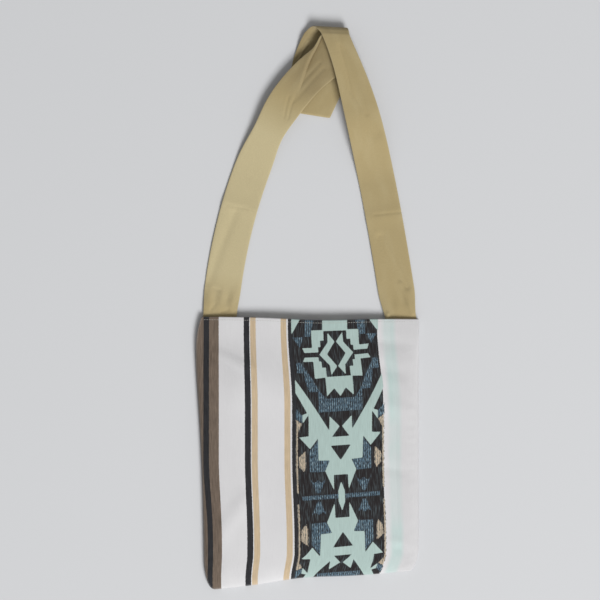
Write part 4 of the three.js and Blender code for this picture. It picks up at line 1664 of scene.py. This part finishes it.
    def leg_run(
        self,
        leg: Leg,
        width: AtPlaces,
        height: AtPlaces,
        lift: AtPlaces,
        draw: AtPlaces = lambda done, left: 0.0 * done,
    ) -> StrapRun:
        """Stations of one leg, whose cross lines turn to lie along the folds at its ends.

        Args:
            leg: The leg.
            width: Width of the strap at distances from the start and the end.
            height: Height of the strap at those distances.
            lift: Lift across the strap at those distances.
            draw: How far the strap's first edge is drawn up at those distances.

        Returns:
            The stations.
        """
        done, centre, way = self.along_curve(leg.curve)
        left = done[-1] - done
        square = np.stack([way[:, 1], -way[:, 0]], axis=1) * leg.side.value
        skew = self.fold_skew(square, leg.start_fold, done) + self.fold_skew(square, leg.end_fold, left)
        cos, sin = np.cos(skew), np.sin(skew)
        turned_x = square[:, 0] * cos - square[:, 1] * sin
        turned_y = square[:, 0] * sin + square[:, 1] * cos
        return StrapRun(
            centre=centre,
            line=np.stack([turned_x, turned_y], axis=1),
            half=width(done, left) / 2.0 / cos,
            height=height(done, left),
            lift=lift(done[:, None], left[:, None]),
            draw=draw(done, left),
        )

    def hairpin(
        self,
        fold: Fold,
        way: Array,
        heights: tuple[float, float],
        width: float,
        draw: float = 0.0,
        crest: float = 0.0,
    ) -> tuple[StrapRun, Array, Array]:
        """Stations of a fold from one height to another: half a turn about the fold line.

        Args:
            fold: The fold.
            way: Direction in which the strap arrives.
            heights: Heights at which it arrives and leaves.
            width: Width at which it arrives. It leaves at the strap's full width.
            draw: How far the fold's first corner is drawn up.
            crest: How far the strap's first edge is lifted where it leaves.

        Returns:
            The stations, the place where the strap leaves, and its direction there.
        """
        start, end = heights
        line = heading(fold.slope)
        outward = np.array([-line[1], line[0]])
        outward = outward * np.sign(outward @ way)
        radius = abs(end - start) / 2.0
        slide = (way @ line) / (way @ outward)
        bend = np.linspace(0.0, math.pi, self.hairpin_steps + 1)[:, None]
        centre = fold.place + outward * radius * np.sin(bend) + line * slide * radius * bend
        height = (start + end) / 2.0 + (start - end) / 2.0 * np.cos(bend[:, 0])
        inner = slice(1, -1)
        count = self.hairpin_steps - 1
        run = StrapRun(
            centre=centre[inner],
            line=np.tile(line, (count, 1)),
            half=np.linspace(width, self.width, self.hairpin_steps + 1)[inner] / 2.0 / (way @ outward),
            height=height[inner],
            lift=crest * (bend[inner] / math.pi) * self.crest_share,
            draw=np.full(count, draw),
        )
        return run, centre[-1], way - 2.0 * (way @ outward) * outward

    def arm_height(self, from_tuck: Array, from_fold: Array, level: float) -> Array:
        """Height of an arm: out of the mouth, along the surface, and up onto the folded plies.

        Args:
            from_tuck: Distances from the tucked end.
            from_fold: Distances from the fold at the other end.
            level: Height of the arm at that fold.

        Returns:
            The height at each distance.
        """
        tuck = self.form.strap_tuck
        leaving = smooth_step(from_tuck, tuck + self.base_level, tuck + self.base_ease)
        rising = 1.0 - smooth_step(from_fold, self.arm_level, self.arm_level + self.arm_rise)
        low = lerp(self.form.strap_mouth_level, self.floor_level, leaving)
        return low + (level - self.floor_level) * rising

    def arm_width(self, from_tuck: Array, side: Side) -> Array:
        """Width of an arm, which grows from its gathered base to the full width.

        Args:
            from_tuck: Distances from the tucked end.
            side: The arm's side.

        Returns:
            The width at each distance.
        """
        tuck = self.form.strap_tuck
        growth = smooth_step(from_tuck, tuck, tuck + self.base_ease)
        return lerp(self.base_width[side], self.width, growth)

    def arm_lift(self, from_tuck: Array, side: Side) -> Array:
        """Puckers where an arm leaves the mouth, one broad crease across it, and its small folds.

        Args:
            from_tuck: Distances from the tucked end.
            side: The arm's side.

        Returns:
            The lift across the strap at each distance.
        """
        from_mouth = from_tuck - self.form.strap_tuck
        ridges = np.cos(self.pucker_count * QUARTER_TURN * self.shares) ** 2
        pucker = bump(from_mouth - self.pucker_reach, self.pucker_reach / 2.0) * ridges
        crease = self.crease_lift * bump(from_mouth - self.crease_from_mouth[side], self.crease_spread)
        across = self.shares[None, :] * self.width / 2.0 + 0.0 * from_mouth
        folds = sum(fold.height(across, from_mouth + 0.0 * across) for fold in self.arm_folds[side])
        loose = self.looseness * smooth_step(from_mouth, self.base_ease / 2.0, self.base_ease)
        folded = folds * smooth_step(from_mouth, 0.0, self.folds_full_at)
        return self.base_pucker[side] * pucker + crease + loose + folded

    def tucked_end(self, side: Side) -> Array:
        """Middle of an arm's end, inside the mouth.

        Args:
            side: The arm's side.

        Returns:
            The place in plan.
        """
        form = self.form
        x = form.mouth_width / 2.0 - self.inset - self.base_width[side] / 2.0
        return np.array([side.value * x, -side.value * form.mouth_tilt / 2.0 - form.strap_tuck])

    def right_arm(self, fold: Array, level: float) -> StrapRun:
        """The right arm, gathered to a narrow hollow neck at the top fold.

        Args:
            fold: Direction of the top fold's line.
            level: Height of the arm at that fold.

        Returns:
            The arm's stations.
        """
        start = self.tucked_end(Side.RIGHT)
        course = self.right_course
        curve = course.curve(start, heading(course.leave), self.top_fold.place, heading(course.arrive))
        drawn_in = self.width - self.neck_width

        def neck(left: Array) -> Array:
            """Share of the neck's narrowing."""
            return bump(left, self.neck_reach)

        def hollow(left: Array) -> Array:
            """Lift of both edges of the neck."""
            return self.neck_lift * neck(left) * smooth_step(left, 0.0, self.neck_reach) * self.shares**2

        return self.leg_run(
            Leg(curve, Side.RIGHT, None, fold),
            width=lambda done, left: self.arm_width(done, Side.RIGHT) - drawn_in * neck(left),
            height=lambda done, left: self.arm_height(done, left, level),
            lift=lambda done, left: self.arm_lift(done, Side.RIGHT) + hollow(left),
        )

    def corner_drawn(self, from_fold: Array) -> Array:
        """How far the crossing fold's upper corner is drawn up at distances from that fold."""
        return self.corner_draw * bump(from_fold, self.corner_reach)

    def left_arm(self, start: Array, way: Array, fold: Array, level: float) -> StrapRun:
        """The left arm, with a pleat that runs from its upper edge at the crossing to its middle.

        Args:
            start: Place where the arm leaves the crossing fold.
            way: Direction in which it leaves.
            fold: Direction of that fold's line.
            level: Height of the arm at that fold.

        Returns:
            The arm's stations.
        """
        course = self.left_course
        curve = course.curve(start, way, self.tucked_end(Side.LEFT), heading(course.arrive))
        drawn_in = self.width - self.waist_width

        def pleat(done: Array) -> Array:
            """Lift of the pleat: a rim that rises to its line, a sudden drop and a slow way out of it.

            Args:
                done: Distances from the crossing fold.

            Returns:
                The lift across the strap at each distance.
            """
            from_folds, lines = np.array(self.pleat_line).T
            beside = self.shares * self.width / 2.0 - np.interp(done, from_folds, lines)
            rim = self.pleat_lift * bump(beside, self.pleat_rim)
            valley = -self.pleat_depth * np.exp(-np.maximum(beside, 0.0) / self.pleat_valley)
            share = 1.0 - smooth_step(done, *self.pleat_fade)
            return lerp(rim, valley, smooth_step(beside, *self.pleat_drop)) * share

        def small_folds(done: Array) -> Array:
            """Lift of the small folds that fan out from the crossing."""
            across = self.shares * self.width / 2.0
            return sum(fold.height(across, done) for fold in self.crossing_folds)

        def waist(done: Array) -> Array:
            """How much narrower the pleat makes the arm."""
            return drawn_in * bump(done - self.waist_from_fold, self.waist_reach)

        return self.leg_run(
            Leg(curve, Side.LEFT, fold, None),
            width=lambda done, left: self.arm_width(left, Side.LEFT) - waist(done),
            height=lambda done, left: self.arm_height(left, done, level),
            lift=lambda done, left: self.arm_lift(left, Side.LEFT) + pleat(done) + small_folds(done),
            draw=lambda done, left: self.corner_drawn(done),
        )

    def stations(self) -> StrapRun:
        """The whole strap, from inside the right end of the mouth to inside its left end.

        Returns:
            The stations of its four legs and three folds.
        """
        under, middle, left_level, right_level = self.levels
        folds = self.top_fold, self.low_fold, self.cross_fold
        top_line, low_line, cross_line = (heading(fold.slope) for fold in folds)
        top, top_exit, top_back = self.hairpin(
            self.top_fold, heading(self.right_course.arrive), (right_level, under), self.neck_width,
            crest=self.crest_lift)
        low_way = heading(self.under_course.arrive)
        low, low_exit, low_back = self.hairpin(self.low_fold, low_way, (under, middle), self.width)
        under_curve = self.under_course.curve(top_exit, top_back, self.low_fold.place, low_way)
        cross_at = self.cross_fold.place
        cross_way = (cross_at - low_exit) / np.linalg.norm(cross_at - low_exit)
        middle_curve = self.middle_course.curve(low_exit, low_back, cross_at, cross_way)
        cross, cross_exit, cross_back = self.hairpin(
            self.cross_fold, cross_way, (middle, left_level), self.width, self.corner_draw)

        def crest(done: Array) -> Array:
            """Lift of the under leg's edge beside the top fold, and of a wrinkle in it.

            Args:
                done: Distances from the top fold.

            Returns:
                The lift across the strap at each distance.
            """
            across = self.shares * self.width / 2.0 + 0.0 * done
            wrinkle = self.crest_wrinkle.height(across, done + 0.0 * across)
            return self.crest_lift * bump(done, self.crest_reach) * self.crest_share + wrinkle

        def hidden_leg(leg: Leg, level: float, crested: float, draw: float) -> StrapRun:
            """A leg of full width at one height, its edge lifted at its start and drawn at its end.

            Args:
                leg: The leg.
                level: Its height.
                crested: Share of the lift at its start.
                draw: Share of the draw at its end.

            Returns:
                The leg's stations.
            """
            return self.leg_run(
                leg,
                width=lambda done, left: np.full_like(done, self.width),
                height=lambda done, left: np.full_like(done, level),
                lift=lambda done, left: crested * crest(done),
                draw=lambda done, left: draw * self.corner_drawn(left),
            )

        return StrapRun.joined([
            self.right_arm(top_line, right_level),
            top,
            hidden_leg(Leg(under_curve, Side.LEFT, top_line, low_line), under, crested=1.0, draw=0.0),
            low,
            hidden_leg(Leg(middle_curve, Side.RIGHT, low_line, cross_line), middle, crested=0.0, draw=1.0),
            cross,
            self.left_arm(cross_exit, cross_back, cross_line, left_level),
        ])

    def build(self) -> bpy.types.Object:
        """Make the strap as one folded band with thin rounded edges.

        Returns:
            The strap.
        """
        run = self.stations()
        shares = self.shares
        across = run.half[:, None] * shares
        plan = run.centre[:, None, :] + run.line[:, None, :] * across[..., None]
        plan[..., 1] += run.draw[:, None] * smooth_step(-shares, 0.0, 1.0)
        height = np.maximum(run.height[:, None] + run.lift, self.floor_level)
        rounded = np.sqrt(np.maximum(0.0, 1.0 - np.abs(shares) ** self.edge_power))
        half = self.form.strap_thickness / 2.0 * np.maximum(rounded, self.thin_edge)
        rise = np.concatenate([run.centre, run.height[:, None]], axis=1)
        steps = np.linalg.norm(np.diff(rise, axis=0), axis=1)
        along = np.concatenate([[0.0], np.cumsum(steps)])[:, None] + 0.0 * across
        grid = ClothGrid(
            points=np.concatenate([plan, height[..., None]], axis=-1),
            half=half,
            known={CLOTH_PLACE: np.stack([across, along, run.half[:, None] - np.abs(across)], axis=-1)},
        )
        flat = self.width, along[-1, 0]
        cloth = SewnCloth("strap", "strap_cotton", flat, held="folded", rests_on=("floor", "back_panel"))
        LOG.info("strap: %.0f by %.0f mm flat", *flat)
        return cloth.dress(grid.sheet("folded_strap"), self.finish.material("strap_khaki_twill"))


@dataclass
class Stitching:
    """The row of topstitching that holds the hem along the mouth of the front."""

    form: BagForm
    finish: SpunThread
    below_edge: float = 4.2
    pitch: float = 3.6
    stitch: float = 2.8
    radius: float = 0.25
    bluntness: float = 0.02
    left_out: int = 1
    rings: int = 7
    spokes: int = 6

    def build(self) -> bpy.types.Object:
        """Make the stitches: short rounded rods, each a circle carried along a line with an elliptic taper.

        Returns:
            The row of stitches.
        """
        form = self.form
        count = math.floor(form.mouth_width / self.pitch) - 2 * self.left_out
        middle = (np.arange(count) + self.left_out + 0.5) * self.pitch / form.mouth_width
        along = np.linspace(-1.0, 1.0, self.rings)
        across = middle[:, None] + along * self.stitch / 2.0 / form.mouth_width
        down = np.full_like(across, self.below_edge / form.middle_length)
        x, y = form.plan(across, down)
        surface = form.front_height(across, down) + form.front_relief(across, down) + form.cloth / 2.0
        taper = self.radius * np.sqrt(np.maximum(1.0 - along**2, self.bluntness))
        turn = np.linspace(0.0, TURN, self.spokes, endpoint=False)
        ring_y = y[..., None] + taper[:, None] * np.cos(turn)
        ring_z = surface[..., None] + taper[:, None] * np.sin(turn)
        ring_x = np.broadcast_to(x[..., None], ring_y.shape)
        points = np.stack([ring_x, ring_y, ring_z], axis=-1).reshape(-1, 3)
        index = np.arange(len(points)).reshape(count, self.rings, self.spokes)
        beside = np.roll(index, -1, axis=2)
        walls = np.stack([index[:, :-1], beside[:, :-1], beside[:, 1:], index[:, 1:]], axis=-1)
        start_caps = index[:, 0, ::-1]
        end_caps = index[:, -1]
        faces = walls.reshape(-1, 4).tolist() + start_caps.tolist() + end_caps.tolist()
        piece = mesh_piece("mouth_topstitching", points, faces)
        piece.data.materials.append(self.finish.material("sewing_thread"))
        return piece


@dataclass
class Studio:
    """The pale floor, the soft light and the camera, which looks straight down."""

    view_middle: tuple[float, float] = (-0.0104, 0.0111)
    view_size: float = 0.8605
    camera_height: float = 4.0
    sensor: float = 36.0
    floor_size: float = 8.0
    floor_drop: float = 0.0004
    floor_roughness: float = 0.95
    sky: float = 0.32
    key_power: float = 1290.0
    key_size: float = 5.0
    key_place: tuple[float, float, float] = (3.9, -6.5, 8.4)

    def floor(self) -> None:
        """Lay the floor: one large square, in a pale matt finish."""
        half = self.floor_size / 2.0
        corners = [(-half, -half), (half, -half), (half, half), (-half, half)]
        mesh = bpy.data.meshes.new("floor")
        mesh.from_pydata([(*corner, -self.floor_drop) for corner in corners], [], [(0, 1, 2, 3)])
        floor = bpy.data.objects.new("floor", mesh)
        bpy.context.collection.objects.link(floor)
        nodes = NodeTree("pale_floor", self.floor_roughness)
        nodes.shader.inputs["Base Color"].default_value = Dye.FLOOR.linear
        mesh.materials.append(nodes.material)

    def light(self) -> None:
        """Light the bag: an even pale surround and one large soft lamp from the lower right."""
        scene = bpy.context.scene
        scene.view_settings.view_transform = "Standard"
        scene.world = bpy.data.worlds.new("studio")
        scene.world.use_nodes = True
        surround = scene.world.node_tree.nodes["Background"]
        surround.inputs["Color"].default_value = (1.0, 1.0, 1.0, 1.0)
        surround.inputs["Strength"].default_value = self.sky
        lamp = bpy.data.lights.new("key", "AREA")
        lamp.energy = self.key_power
        lamp.size = self.key_size
        key = bpy.data.objects.new("key", lamp)
        key.location = self.key_place
        key.rotation_euler = key.location.to_track_quat("Z", "Y").to_euler()
        bpy.context.collection.objects.link(key)

    def camera(self) -> None:
        """Set the camera over the bag, with a lens that takes in the view's size from its height."""
        lens = bpy.data.cameras.new("camera")
        lens.sensor_width = self.sensor
        lens.lens = self.sensor * self.camera_height / self.view_size
        camera = bpy.data.objects.new("camera", lens)
        camera.location = (*self.view_middle, self.camera_height)
        bpy.context.collection.objects.link(camera)
        bpy.context.scene.camera = camera


def main() -> None:
    """Build the studio and the bag's cloths in order."""
    logging.basicConfig(level=logging.INFO, format="%(name)s: %(message)s")
    studio = Studio()
    studio.camera()
    studio.floor()
    studio.light()
    form = BagForm()
    panels = OuterPanels(form, StripedCloth())
    panels.back()
    panels.front()
    buff_dyes = ((0.0, Dye.BUFF), (form.middle_length, Dye.BUFF))
    Lining(form, CottonTwill(buff_dyes, Dye.PALE_BUFF, slant=0.0)).build()
    Strap(form, CottonTwill(KHAKI_ALONG_STRAP, Dye.WORN_KHAKI, slant=STRAP_TWILL_SLANT)).build()
    Stitching(form, SpunThread(Dye.THREAD)).build()


if __name__ == "__main__":
    main()
